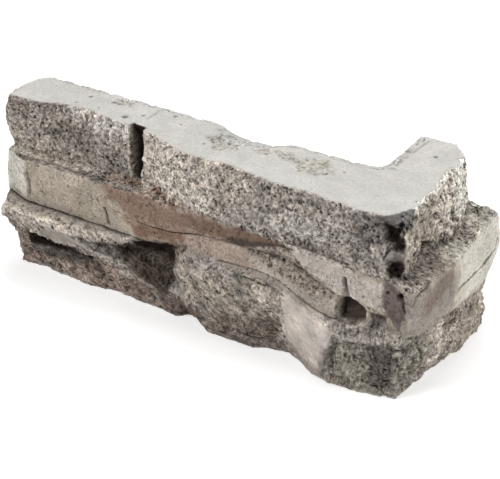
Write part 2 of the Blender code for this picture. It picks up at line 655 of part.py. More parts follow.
def swell(share, height):
    """Height of a swelling that starts and ends at nothing."""
    return 4.0 * share * (1.0 - share) * height


def open_crack(row, columns, upper, lower, share):
    """Push a row between the edges of the crack into the stone, deeper where the crack is wider."""
    for column, (face, _) in enumerate(columns.list):
        if face in ("front", "side"):
            width = columns.on_edge(upper, column).z - columns.on_edge(lower, column).z
            depth = min(CRACK_DEEPEST, CRACK_OPENING * max(0.0, width - CLOSED_CRACK))
            row[column] -= columns.outward(column) * swell(share, depth)
    return row


def face_row(columns, upper, lower, share, height, end_height):
    """A row of points at a share of the way from the upper to the lower edge of a course."""
    row = []
    for column, (face, _) in enumerate(columns.list):
        point = columns.on_edge(upper, column).lerp(columns.on_edge(lower, column), share)
        bulge = end_height if face == "left" else height
        row.append(point + columns.outward(column) * swell(share, bulge))
    return row


class LowLine(Line):
    """A line over the facets of the low course, at a share of the way from its head to the bed."""

    def __init__(self, share, front, side):
        self.share = share
        self.front = front
        self.side = side
        self.left_end = LOW_HEAD.left_end
        self.far_end = LOW_HEAD.far_end
        self.back_z = LOW_HEAD.back_z * (1.0 - share)

    def front_point(self, along):
        z = LOW_HEAD.front_point(along).z * (1.0 - self.share)
        left = -LONG_LEG + read_profile(LOW_LEFT_ARRIS, z, 1)
        corner_x = LOW_RETURN + read_profile(LOW_CORNER_ARRIS, z, 1)
        x = left + (corner_x - left) * along
        return Vector((x, -LOW_DEPTH - self.front.worn_height(x, z), z))

    def side_point(self, along):
        z = LOW_HEAD.side_point(along).z * (1.0 - self.share)
        corner_y = -LOW_DEPTH - read_profile(LOW_CORNER_ARRIS, z, 2)
        y = corner_y + (SHORT_LEG - corner_y) * along
        return Vector((LOW_RETURN + self.side.worn_height(y, z), y, z))


def roughen(rows, columns, kinds):
    """Move each point along its outward direction by the lumps of its course.

    The rim and the bed keep their level, and the points at the back stay in the back's planes.
    """
    last = len(columns.list) - 1
    for row, kind in zip(rows, kinds):
        for column in range(1, last):
            face = columns.list[column][0]
            height = END_ROUGHNESS if face in ("left", "far") else ROUGHNESS[kind]
            calm = min(1.0, min(column, last - column) / CALM_COLUMNS)
            point = row[column]
            step = lumps(point, height) + upright_lumps(point, kind, face)
            row[column] = point + columns.outward(column) * calm * step
    return rows


def outer_rows(columns):
    """All rows of the outer face from the rim of the stone to its bed."""
    front = FacetedFace(FRONT_RIDGES)
    side = FacetedFace(SIDE_RIDGES)
    rows = []
    kinds = []
    bands = [
        (TOP_RIM, TOP_FOOT, TOP_ROWS, TOP_SWELL, TOP_END_SWELL, "top"),
        (TOP_FOOT, SLAB_HEAD, SHELF_ROWS, 0.0, 0.0, "slab"),
        (SLAB_HEAD, CRACK_UPPER, SLAB_UPPER_ROWS, SLAB_SWELL, SLAB_SWELL, "slab"),
        (CRACK_UPPER, CRACK_LOWER, CRACK_ROWS, 0.0, 0.0, "slab"),
        (CRACK_LOWER, SLAB_FOOT, SLAB_LOWER_ROWS, SLAB_SWELL, SLAB_SWELL, "slab"),
    ]
    for upper, lower, count, height, end_height, kind in bands:
        crowding = TOP_ROW_CROWDING if kind == "top" else 1.0
        for step in range(round(count)):
            share = (step / count) ** crowding
            row = face_row(columns, upper, lower, share, height, end_height)
            if kind == "top":
                row = [
                    cut_spall(press_pockets(cut_cleft(p) if face == "front" else p, face))
                    for p, (face, _) in zip(row, columns.list)
                ]
            elif upper is not TOP_FOOT or step > 0:
                row = [cut_end_chamfer(p, face) for p, (face, _) in zip(row, columns.list)]
            if upper is CRACK_UPPER:
                row = open_crack(row, columns, upper, lower, share)
            rows.append(row)
            kinds.append(kind)
    foot = face_row(columns, SLAB_FOOT, SLAB_FOOT, 0.0, 0.0, 0.0)
    foot = [cut_end_chamfer(p, face) for p, (face, _) in zip(foot, columns.list)]
    low_lines = [LowLine(step / LOW_ROWS, front, side) for step in range(LOW_ROWS + 1)]
    low_rows = [[columns.on_edge(line, i) for i in range(len(columns.list))] for line in low_lines]
    for step in range(UNDERCUT_ROWS):
        rows.append([a.lerp(b, step / UNDERCUT_ROWS) for a, b in zip(foot, low_rows[0])])
        kinds.append("slab")
    rows += low_rows
    kinds += ["low"] * len(low_rows)
    return roughen(rows, columns, kinds)


def back_path():
    """Points along the back in plan, each with the direction into the stone."""
    start = -LONG_LEG + TOP_RIM.left_end[1]
    straight = [start + (-INNER_FILLET - start) * s for s in stations(start, -INNER_FILLET, BACK_STATION)]
    path = [(Vector((x, 0, 0)), Vector((0, -1, 0))) for x in straight]
    centre = Vector((-INNER_FILLET, INNER_FILLET, 0))
    for step in range(1, FILLET_STEPS):
        angle = 0.5 * math.pi * step / FILLET_STEPS
        inward = Vector((math.sin(angle), -math.cos(angle), 0))
        path.append((centre + inward * INNER_FILLET, inward))
    end = SHORT_LEG - TOP_RIM.far_inset
    for share in stations(INNER_FILLET, end, BACK_STATION):
        path.append((Vector((0, INNER_FILLET + (end - INNER_FILLET) * share, 0)), Vector((1, 0, 0))))
    return path


def arris_size(place):
    """Width and drop of the rough top arris at a place on the back path."""
    broken = 0.0
    if place.y == 0:
        off = abs(place.x - BROKEN_ARRIS_AT) / BROKEN_ARRIS_REACH
        broken = smooth_step(1.0, BROKEN_ARRIS_CORE, off)
    lump = 1.0 + ARRIS_LUMP * noise.noise(place / LARGE_LUMP)
    width = ARRIS_WIDTH * lump + BROKEN_ARRIS_WIDTH * broken
    drop = ARRIS_DROP * lump + BROKEN_ARRIS_DROP * broken
    return width, drop


def fill_flat(mesh, outline, axes):
    """Fill a flat outline, seen along the axis that is left out, with well-shaped triangles."""
    places = [Vector((v.co[axes[0]], v.co[axes[1]])) for v in outline]
    inside_only = 1
    merge_distance = 1e-7
    ring = list(range(len(outline)))
    _, _, triangles, sources, _, _ = delaunay_2d_cdt(places, [], [ring], inside_only, merge_distance)
    for triangle in triangles:
        mesh.faces.new([outline[sources[corner][0]] for corner in triangle])


def build_stone():
    """One closed mesh: rough outer face, rough top arris, flat top, bed and back."""
    columns = Columns()
    rows = outer_rows(columns)
    mesh = bmesh.new()
    last = len(columns.list) - 1

    # The two ends of the rim dip to the outer line of the top arris
    path = back_path()
    sizes = [arris_size(place) for place, _ in path]
    for column, (_, drop) in ((0, sizes[0]), (last, sizes[-1])):
        rows[0][column].z = HEIGHT - drop

    grid = [[mesh.verts.new(p) for p in row] for row in rows]
    for upper, lower in zip(grid, grid[1:]):
        for i in range(last):
            mesh.faces.new((upper[i], lower[i], lower[i + 1], upper[i + 1]))

    # The rough arris is a strip of two faces between the back's planes and the flat top
    outer_line = [grid[0][0]]
    middle_line = [None]
    inner_line = [grid[0][1]]
    for (place, inward), (width, drop) in list(zip(path, sizes))[1:-1]:
        outer_line.append(mesh.verts.new(place + Vector((0, 0, HEIGHT - drop))))
        lump = ARRIS_LUMP * drop * noise.noise(place / SMALL_LUMP)
        middle = place + inward * width * ARRIS_MIDDLE
        middle.z = HEIGHT - drop * ARRIS_MIDDLE_DROP + lump
        middle_line.append(mesh.verts.new(middle))
        inner_line.append(mesh.verts.new(place + inward * width + Vector((0, 0, HEIGHT))))
    outer_line.append(grid[0][last])
    middle_line.append(None)
    inner_line.append(grid[0][last - 1])
    count = len(outer_line)
    mesh.faces.new((outer_line[0], middle_line[1], outer_line[1]))
    mesh.faces.new((outer_line[0], inner_line[0], inner_line[1], middle_line[1]))
    for i in range(1, count - 2):
        mesh.faces.new((outer_line[i], middle_line[i], middle_line[i + 1], outer_line[i + 1]))
        mesh.faces.new((middle_line[i], inner_line[i], inner_line[i + 1], middle_line[i + 1]))
    mesh.faces.new((outer_line[-2], middle_line[-2], outer_line[-1]))
    mesh.faces.new((middle_line[-2], inner_line[-2], inner_line[-1], outer_line[-1]))

    # Flat top between the rim and the arris
    fill_flat(mesh, grid[0][1:last] + inner_line[-2:0:-1], (0, 1))

    # Back of the long leg, fillet and back of the return, each down to the bed
    fillet_start = next(i for i, (place, _) in enumerate(path) if abs(place.x + INNER_FILLET) < 1e-9)
    fillet_end = fillet_start + FILLET_STEPS
    below = {i: mesh.verts.new(path[i][0]) for i in range(fillet_start, fillet_end + 1)}
    left_edge = [row[0] for row in grid]
    far_edge = [row[last] for row in grid]
    fill_flat(mesh, outer_line[:fillet_start + 1] + [below[fillet_start]] + left_edge[:0:-1], (0, 2))
    for i in range(fillet_start, fillet_end):
        mesh.faces.new((outer_line[i], below[i], below[i + 1], outer_line[i + 1]))
    fill_flat(mesh, outer_line[fillet_end:] + far_edge[1:] + [below[fillet_end]], (1, 2))

    # Bed
    fill_flat(mesh, grid[-1] + [below[i] for i in range(fillet_end, fillet_start - 1, -1)], (0, 1))

    bmesh.ops.triangulate(mesh, faces=mesh.faces[:])
    bmesh.ops.recalc_face_normals(mesh, faces=mesh.faces[:])
    return mesh


def centre_on_bed(mesh):
    """Move the stone so that its origin is the middle of its bounding box, on the bed."""
    low = [min(v.co[i] for v in mesh.verts) for i in range(3)]
    high = [max(v.co[i] for v in mesh.verts) for i in range(3)]
    middle = Vector(((low[0] + high[0]) / 2, (low[1] + high[1]) / 2, 0))
    bmesh.ops.translate(mesh, vec=-middle, verts=mesh.verts[:])


def stone_material():
    """Weathered grey-beige cast stone."""
    material = bpy.data.materials.new("cast_stone")
    material.use_nodes = True
    surface = material.node_tree.nodes["Principled BSDF"]
    surface.inputs["Base Color"].default_value = (0.36, 0.32, 0.28, 1.0)
    surface.inputs["Roughness"].default_value = 0.95
    surface.inputs["Metallic"].default_value = 0.0
    return material


def main():
    for old in list(bpy.data.objects):
        bpy.data.objects.remove(old, do_unlink=True)
    stone = build_stone()
    centre_on_bed(stone)
    data = bpy.data.meshes.new("corner_stone")
    stone.to_mesh(data)
    stone.free()
    data.materials.append(stone_material())
    data.shade_flat()
    piece = bpy.data.objects.new("corner_stone", data)
    bpy.context.scene.collection.objects.link(piece)


main()
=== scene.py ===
"""Looks of the stone cladding corner.

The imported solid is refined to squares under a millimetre. Its broken faces then get the facets,
cracks, pits and grain of the real casting, and one stone material colours them by place.
"""
import math
from itertools import product

import bmesh
import bpy
import numpy as np
from mathutils import Matrix, Vector
from mathutils.geometry import delaunay_2d_cdt


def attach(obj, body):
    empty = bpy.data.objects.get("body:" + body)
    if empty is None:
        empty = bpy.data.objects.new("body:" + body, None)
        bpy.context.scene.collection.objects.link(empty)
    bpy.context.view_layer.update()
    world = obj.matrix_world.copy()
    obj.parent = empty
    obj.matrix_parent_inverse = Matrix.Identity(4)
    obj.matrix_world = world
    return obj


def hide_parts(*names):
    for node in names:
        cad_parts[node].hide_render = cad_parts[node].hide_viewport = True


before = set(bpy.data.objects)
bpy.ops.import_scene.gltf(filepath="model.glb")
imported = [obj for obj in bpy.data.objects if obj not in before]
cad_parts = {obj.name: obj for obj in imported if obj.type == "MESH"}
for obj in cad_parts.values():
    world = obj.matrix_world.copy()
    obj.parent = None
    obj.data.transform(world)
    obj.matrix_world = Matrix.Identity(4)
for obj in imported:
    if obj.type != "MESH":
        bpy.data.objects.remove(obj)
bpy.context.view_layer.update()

# Lengths are in metres, and points in lists are in millimetres. Places on the stone are given from
# the inner corner of the L, as its source gives them: the long leg runs along -X with its front to
# -Y, and the return along +Y.
MM = 0.001
INNER_CORNER = np.array([0.08436, 0.00336, 0.0])
HEIGHT = 0.100
ON_PLANE = 1e-5

# Heights of the slab's upper and lower edge, along the front (x, z) and along the return (y, z)
HEAD_FRONT = [(-212, 68), (-204, 70.5), (-110, 70.5), (-60, 69.8), (-45, 68.8), (-33, 68), (-28, 68.4),
    (-10, 69.4), (2, 68.7), (25, 69.3), (42, 67)]
HEAD_SIDE = [(-45.7, 67), (-35, 66.3), (22, 66), (44.5, 68.5)]
FOOT_FRONT = [(-212, 43.5), (-115, 44), (-100, 46.5), (-92, 48), (-70, 48.5), (-60, 47), (-47, 48.5),
    (-38, 47), (-30, 44), (-19, 43), (-13.5, 40), (-7.5, 38), (3, 38), (12, 40), (18, 42), (34, 43.8),
    (41, 43.3)]
FOOT_SIDE = [(-46.7, 43.3), (-40, 42.8), (-25, 40.5), (-16, 40), (-7, 37), (11, 33.5), (30, 29),
    (44.5, 29)]

# How far a ledge reaches from the slab's edge, and the chalky arris from the back and the top
LEDGE_REACH = 0.0035
SIDE_LEDGE_REACH = 0.0080
CHALKY_REACH = 0.0165
CHALKY_DROP = 0.0060

# The way across the outer corner, and where the front begins
ACROSS_CORNER = np.array((0.77, 0.63, 0.0))
FRONT_FROM = -0.020

TOP_SPACING = 0.0011
SKIN_CUTS = 2
SMOOTHING_ROUNDS = 6


def ramp(low, high, value):
    """0 below low, 1 above high, and an even curve between. High may be the lower of the two."""
    share = np.clip((value - low) / (high - low), 0.0, 1.0)
    return share * share * (3.0 - 2.0 * share)


def read_line(line, places, value=1):
    """A value of a line of points, at places along its first value."""
    points = np.array(line) * MM
    return np.interp(places, points[:, 0], points[:, value])


OCTAVE_SHIFT = 0.0137


class Grain:
    """Seeded noise in space. It gives the same values on every run."""

    def __init__(self, seed):
        chance = np.random.default_rng(seed)
        self.order = chance.permutation(256)
        slopes = chance.normal(size=(256, 3))
        self.slopes = slopes / np.linalg.norm(slopes, axis=1)[:, None]
        self.jitter = chance.random((256, 3))

    def label(self, cell):
        """A number from 0 to 255 for each cell of a grid."""
        x, y, z = (cell[:, i] & 255 for i in range(3))
        return self.order[(self.order[(self.order[x] + y) & 255] + z) & 255]

    def waves(self, places, size):
        """Smooth noise, about -1 to 1, with waves of one size."""
        scaled = places / size
        cell = np.floor(scaled).astype(int)
        inside = scaled - cell
        ease = inside ** 3 * (inside * (inside * 6.0 - 15.0) + 10.0)
        total = np.zeros(len(places))
        for corner in product((0, 1), repeat=3):
            offset = np.array(corner)
            slope = self.slopes[self.label(cell + offset)]
            share = np.where(offset, ease, 1.0 - ease).prod(1)
            total += share * ((inside - offset) * slope).sum(1)
        return total * 1.7

    def octaves(self, places, size, count, fall):
        """Several sizes of waves, each half as wide as the one before, and their weights."""
        for octave in range(count):
            yield fall ** octave, self.waves(places + octave * OCTAVE_SHIFT, size / 2 ** octave)

    def rough(self, places, size, count=3, fall=0.55):
        """Waves of several sizes together, about -1 to 1."""
        layers = list(self.octaves(places, size, count, fall))
        return sum(weight * waves for weight, waves in layers) / sum(weight for weight, _ in layers)

    def billows(self, places, size, count=2):
        """Rounded lumps with sharp creases between them, about -1 to 1."""
        layers = list(self.octaves(places, size, count, 0.5))
        total = sum(weight * np.abs(waves) for weight, waves in layers)
        return 2.5 * total / sum(weight for weight, _ in layers) - 0.75

    def dots(self, places, size):
        """Distance to the nearest of scattered points, in sizes, the way to it and its label."""
        scaled = places / size
        cell = np.floor(scaled).astype(int)
        nearest = np.full(len(places), 9.0)
        way = np.zeros((len(places), 3))
        name = np.zeros(len(places), int)
        for corner in product((-1, 0, 1), repeat=3):
            around = cell + np.array(corner)
            label = self.label(around)
            offset = around + self.jitter[label] - scaled
            distance = np.linalg.norm(offset, axis=1)
            closer = distance < nearest
            nearest = np.where(closer, distance, nearest)
            way = np.where(closer[:, None], offset, way)
            name = np.where(closer, label, name)
        return nearest, way, name

    def chips(self, places, size):
        """Small flat facets, each tilted its own way, about -1 to 1."""
        _, way, name = self.dots(places, size)
        return 1.6 * (way * self.slopes[name]).sum(1)

    def pits(self, places, size, radius, share):
        """1 in the middle of scattered round pits, and 0 outside them."""
        nearest, _, name = self.dots(places, size)
        return ramp(radius, 0.2 * radius, nearest * size) * (name < 255 * share)


GRAIN = Grain(seed=7)


class Facets:
    """Flat facets stretched between named ridges of points (u, v, out), as a height over a face."""

    def __init__(self, ridges):
        places = []
        heights = []
        edges = []
        for ridge in ridges.values():
            start = len(places)
            for u, v, out in np.array(ridge) * MM:
                places.append(Vector((u, v)))
                heights.append(out)
            edges += [(start + i, start + i + 1) for i in range(len(ridge) - 1)]
        keep_all = 0
        merge_distance = 1e-5
        points, _, triangles, sources, _, _ = delaunay_2d_cdt(
            places, edges, [], keep_all, merge_distance)
        self.points = np.array([tuple(p) for p in points])
        self.triangles = np.array(triangles)
        self.heights = np.array([
            heights[s[0]] if s else crossing_height(p, places, heights, edges)
            for p, s in zip(points, sources)
        ])

    def at(self, u, v):
        """Height at each place, and the nearest facet's where a place lies outside all of them."""
        best = np.full(len(u), -np.inf)
        height = np.zeros(len(u))
        for triangle in self.triangles:
            a, b, c = self.points[triangle]
            area = (b[0] - a[0]) * (c[1] - a[1]) - (c[0] - a[0]) * (b[1] - a[1])
            share_b = ((u - a[0]) * (c[1] - a[1]) - (c[0] - a[0]) * (v - a[1])) / area
            share_c = ((b[0] - a[0]) * (v - a[1]) - (u - a[0]) * (b[1] - a[1])) / area
            shares = np.stack([1.0 - share_b - share_c, share_b, share_c])
            inside = shares.min(0)
            closer = inside > best
            best = np.where(closer, inside, best)
            kept = np.clip(shares, 0.0, 1.0)
            found = (kept / kept.sum(0) * self.heights[triangle][:, None]).sum(0)
            height = np.where(closer, found, height)
        return height


def crossing_height(point, places, heights, edges):
    """Height of a crossing point of two ridges, read from the ridge edge it lies on."""
    found = []
    for a, b in edges:
        along = places[b] - places[a]
        share = max(0.0, min(1.0, (point - places[a]).dot(along) / along.length_squared))
        distance = (places[a].lerp(places[b], share) - point).length
        found.append((distance, heights[a] + (heights[b] - heights[a]) * share))
    return min(found, key=lambda pair: pair[0])[1]


def line_distance(places, line):
    """Distance of each place to a line of points, in two or three dimensions."""
    nearest = np.full(len(places), np.inf)
    points = np.array(line, float)
    for a, b in zip(points[:-1], points[1:]):
        along = b - a
        share = np.clip(((places - a) @ along) / max(along @ along, 1e-12), 0.0, 1.0)
        nearest = np.minimum(nearest, np.linalg.norm(places - (a + share[:, None] * along), axis=1))
    return nearest


def patch(u, v, outline, fade):
    """1 inside an outline, 0 outside it, and a soft edge of the fade's width."""
    places = np.stack([u, v], 1)
    ring = list(outline) + [outline[0]]
    inside = np.zeros(len(u), bool)
    for (au, av), (bu, bv) in zip(ring[:-1], ring[1:]):
        crosses = (av > v) != (bv > v)
        reach = (bu - au) * (v - av) / (bv - av if bv != av else 1e-12) + au
        inside ^= crosses & (u < reach)
    distance = line_distance(places, ring) * np.where(inside, 1.0, -1.0)
    return ramp(-0.5 * fade, 0.5 * fade, distance)


def cut_skin(node):
    """The node's mesh without its top and bed, its broken faces cut to small squares."""
    stone = bmesh.new()
    stone.from_mesh(node.data)
    bmesh.ops.remove_doubles(stone, verts=stone.verts, dist=1e-6)
    bmesh.ops.translate(stone, verts=stone.verts, vec=Vector(-INNER_CORNER))
    level = [
        f for f in stone.faces
        if all(abs(v.co.z - HEIGHT) < ON_PLANE for v in f.verts)
        or all(v.co.z < ON_PLANE for v in f.verts)
    ]
    bmesh.ops.delete(stone, geom=level, context="FACES")
    broken = [f for f in stone.faces if not is_back(f)]
    any_angle = math.pi
    bmesh.ops.join_triangles(
        stone, faces=broken, angle_face_threshold=any_angle, angle_shape_threshold=any_angle)
    for _ in range(SKIN_CUTS):
        edges = {e for f in stone.faces if not is_back(f) for e in f.edges}
        bmesh.ops.subdivide_edges(stone, edges=list(edges), cuts=1, use_grid_fill=True)
    return stone


def is_back(face):
    """Whether a face belongs to the flat backs of the two legs or the fillet between them."""
    return all(v.co.x < ON_PLANE and v.co.y > -ON_PLANE for v in face.verts)


def read_all(items, name, kind, width):
    """A property of all points or edges of a mesh, as a row for each."""
    values = np.zeros(len(items) * width, kind)
    items.foreach_get(name, values)
    return values.reshape(-1, width)


class Stone:
    """The refined mesh as arrays, with what is known of each of its points."""

    def __init__(self, mesh, skin_count=None):
        self.mesh = mesh
        count = len(mesh.vertices)
        self.filled = np.arange(count) >= (skin_count or count)
        self.co = read_all(mesh.vertices, "co", float, 3)
        self.edges = read_all(mesh.edges, "vertices", int, 2)
        self.find_places()

    def find_places(self):
        """Sort the points into the front, the return, the ends and the three courses."""
        x, y, z = self.co.T
        self.back = (x < ON_PLANE) & (y > -ON_PLANE)
        self.top = self.filled & (z > 0.5 * HEIGHT)
        turn = self.co @ ACROSS_CORNER + 0.0034 * GRAIN.rough(self.co, 0.008, 3)
        self.side = (x > 0.0) & (turn > 0.0) & ~self.filled
        self.front = ~self.side & (y < FRONT_FROM) & ~self.back & ~self.filled
        head = np.where(self.side, read_line(HEAD_SIDE, y), read_line(HEAD_FRONT, x))
        foot = np.where(self.side, read_line(FOOT_SIDE, y), read_line(FOOT_FRONT, x))
        self.foot = foot
        self.top_share = ramp(head - 0.001, head + 0.001, z)
        self.low_share = ramp(foot + 0.0005, foot - 0.0015, z)
        self.slab_share = 1.0 - self.top_share - self.low_share
        up = self.normals()[:, 2]
        reach = np.where(self.side, SIDE_LEDGE_REACH, LEDGE_REACH)
        on_ledge = (np.abs(z - head) < reach) * ~self.filled
        self.ledge = ramp(0.35, 0.75, up) * on_ledge
        near_back = (np.where(x < 0.0, -y, x) < CHALKY_REACH) & (y > -CHALKY_REACH)
        self.chalky = near_back & (z > HEIGHT - CHALKY_DROP) & ~self.filled & ~self.back
        self.smooth = np.zeros(len(x))
        for outline in SMOOTH_FACETS:
            self.smooth = np.maximum(self.smooth, self.on_front(outline, 3.0))

    def on_front(self, outline, fade):
        """1 inside an outline on the front, and 0 elsewhere."""
        x, _, z = self.co.T
        return patch(x / MM, z / MM, outline, fade) * self.front

    def normals(self):
        self.write()
        return read_all(self.mesh.vertex_normals, "vector", float, 3)

    def write(self):
        self.mesh.vertices.foreach_set("co", self.co.astype(np.float32).ravel())
        self.mesh.update()

    def average(self, values):
        """Mean of the values at each point's neighbours."""
        count = len(values)
        a, b = self.edges.T
        total = np.stack([
            np.bincount(a, column[b], count) + np.bincount(b, column[a], count)
            for column in values.T
        ], 1)
        return total / np.maximum(np.bincount(self.edges.ravel(), minlength=count), 1)[:, None]

    def even_out(self, rounds, strength):
        """Smooth the points towards their neighbours, by a strength for each point."""
        for _ in range(rounds):
            self.co += (self.average(self.co) - self.co) * strength[:, None]


# The low course's front: how far its ridges lie before the back, how wide they are worn, where the
# redrawn part fades in and out along the front, and its ridges as points (x, z, out)
LOW_DEPTH = 0.044
WORN_WIDTH = 0.0007
REDRAWN_FROM = (-0.2025, -0.200)
REDRAWN_TO = (0.030, 0.026)
REDRAWN_BEFORE = -0.025
FRONT_RIDGES = {
    "bed edge": [(-220, 0, -6.2), (-206, 0, -6.2), (-183, 0, -7.8), (-168, 0, -6.2), (-139, 0, -8.5),
        (-119, 0, -8), (-98.5, 0, -7), (-94, 0, -11.2), (-88, 0, -11.2), (-76.5, 0, -3.2), (-65, 0, -3.5),
        (-49, 0, -4), (-43, 0, -7.5), (-31, 0, -9.8), (-22.5, 0, -6.5), (-11.9, 0, -0.2), (-1.5, 0, 1.8),
        (5, 0, 1.5), (15, 0, 0), (25, 0, -2.3), (33, 0, -4.6), (50, 0, -4.6)],
    "edge of the upper shelf": [(-220, 36, 5), (-206.5, 35, 5.3), (-200, 40.5, 7), (-189, 40.5, 7.8),
        (-175, 40, 8.2), (-160, 39.5, 7.8), (-147, 39.5, 7.2), (-135, 40, 5), (-126, 41, 0.5),
        (-119, 42, -5)],
    "rib under the spur": [(-189, 40.5, 7.8), (-190, 30, 3.5), (-190, 20, -1), (-189, 0, -8.8)],
    "left arris": [(-206.5, 35, 5.3), (-205, 27.6, -1), (-202.5, 20, -3), (-203, 12, -3.5), (-206, 0, -7)],
    "lower edge of the grey facet": [(-182, 30.5, 5), (-170, 30, 5.2), (-158, 29, 4.5), (-146, 27, 3)],
    "undercut below it": [(-184, 27, -2), (-170, 26, -2.5), (-156, 24.5, -2), (-146, 23.5, -1)],
    "long slanting ridge": [(-160, 39.5, 7.8), (-150, 34, 5.5), (-140, 30, 4), (-130, 28, 3),
        (-120, 25, 1), (-111, 20.5, -1), (-103, 16.5, -2.5)],
    "foot of the long ridge": [(-160, 14, -5.5), (-140, 15, -5), (-125, 14, -4.5), (-112, 12, -5.5),
        (-101, 10, -5)],
    "blue facet": [(-150, 38.5, 6), (-134, 35, 1.5), (-131, 30, 2)],
    "rim of the deep hollow": [(-131, 37, -1), (-122, 40, -4), (-112, 43, -6), (-104, 45.5, -6),
        (-96, 47, -4)],
    "floor of the deep hollow": [(-126, 33, -6), (-117, 35, -10.5), (-107, 37, -11.5), (-102, 30, -11),
        (-108, 26, -9.5), (-118.5, 30, -8.5)],
    "pocket at its foot": [(-103.5, 24, -11.5), (-101, 19.5, -10)],
    "left edge of the bulge": [(-88.5, 47.5, 0.5), (-90.5, 40, 0.5), (-96, 33, -1.5), (-93, 26, -0.5),
        (-97, 18, -3), (-94, 8, -7), (-88.5, 0, -12.5)],
    "crown of the bulge": [(-86, 48, 1), (-84, 42, 4), (-76, 39, 5.5), (-66, 38, 6), (-56, 39, 5.8),
        (-46, 40, 5), (-38, 38, 3.5)],
    "waist of the bulge": [(-90, 22, 1.5), (-78, 21, 3.5), (-66, 20, 3.8), (-56, 19.5, 3.2),
        (-47, 18, 1.5), (-40, 15, -2)],
    "lower bulge": [(-80, 8, -1), (-68, 8, 0.8), (-55, 8, 0), (-46, 8, -3)],
    "valley right of the bulge": [(-29, 44, 0), (-30, 37, 0.5), (-33, 25, -1.8), (-36.5, 13, -5.5),
        (-35, 0, -9)],
    "smooth facet, upper edge": [(-22, 41, 1), (-14.5, 37.5, 2.5), (-8, 35, 4), (-3, 32, 4.5)],
    "smooth facet, right edge": [(-3, 32, 4.5), (-1, 26, 4.5), (-3, 18, 4), (-4.5, 10, 3.2), (-8, 3, 2),
        (-11.9, 0, -0.2)],
    "smooth facet, middle": [(-24, 22, -0.2), (-25, 8, -4)],
    "step beside the smooth facet": [(1, 30, 3), (2, 25, 1.2), (0, 17, 1), (-2, 9, 0.5), (-5, 2.5, 0.5)],
    "sloping shelf at the corner": [(2, 34.5, 2), (8, 31.5, 5), (18, 34, 5.8), (28, 36, 6), (37, 40.5, 5)],
    "under the shelf": [(8, 27, 3), (17, 28, 2), (27, 29, 1.5), (32.5, 31, 2.5)],
    "knob left of the corner": [(6, 17, 2.2), (12, 12, 3), (8, 6, 2.5)],
    "dent left of the corner": [(20, 24, -0.5), (24, 16, -0.8), (27, 9, -1.5)],
    "corner arris": [(39, 43.5, 4), (37, 40.5, 5), (32.5, 31, 2.5), (33, 15, -2), (33, 0, -4.6)],
}


def break_low_front(stone):
    """Redraw the low course's front at full sharpness from its ridges and hollows."""
    x, y, z = stone.co.T
    face = Facets(FRONT_RIDGES)
    around = [(0, 0), (WORN_WIDTH, 0), (-WORN_WIDTH, 0), (0, WORN_WIDTH), (0, -WORN_WIDTH)]
    out = sum(face.at(x + du, z + dv) for du, dv in around) / len(around)
    depth = -LOW_DEPTH - out
    share = ramp(stone.foot - 0.0005, stone.foot - 0.0035, z)
    share = share * ~stone.side * (y < REDRAWN_BEFORE)
    share = share * ramp(*REDRAWN_FROM, x) * ramp(*REDRAWN_TO, x)
    stone.co[:, 1] = y + (depth - y) * share


# The open joint of the top course: height, middle and half width
CLEFT = [(70, -124.2, 2.4), (78, -124.1, 3), (88, -124.3, 4), (96, -126.2, 4.7), (100, -127, 4.9)]
CLEFT_WALL = 0.0009
CLEFT_DEEP = 0.0088
CLEFT_ENDS = (-0.134, -0.117)
TOP_COURSE = 0.0295


def cleft_share(x, z, wall):
    """1 inside the open joint, 0 outside it."""
    half = read_line(CLEFT, z, 2)
    return ramp(half + wall, half - wall, np.abs(x - read_line(CLEFT, z)))


def carve_cleft(stone):
    """The deep upright trough in the top course, with a steep wall on both sides."""
    x, y, z = stone.co.T
    down = (HEIGHT - z) / TOP_COURSE
    left, right = CLEFT_ENDS
    along = (x - left) / (right - left)
    # The unbroken face leans back, bellies and turns a little along the joint
    face = -0.0278 - 0.0040 * down - 0.0056 * down * (1.0 - down) - 0.0024 * along
    rim_share = 0.45 + 0.55 * ramp(0.0, 0.22, down)
    foot_share = ramp(1.02, 0.85, down)
    target = face + CLEFT_DEEP * cleft_share(x, z, CLEFT_WALL) * rim_share * foot_share
    window = ramp(left - 0.002, left + 0.001, x) * ramp(right + 0.002, right - 0.001, x)
    window = window * stone.front * ramp(0.0708, 0.0722, z)
    stone.co[:, 1] = y + (target - y) * window


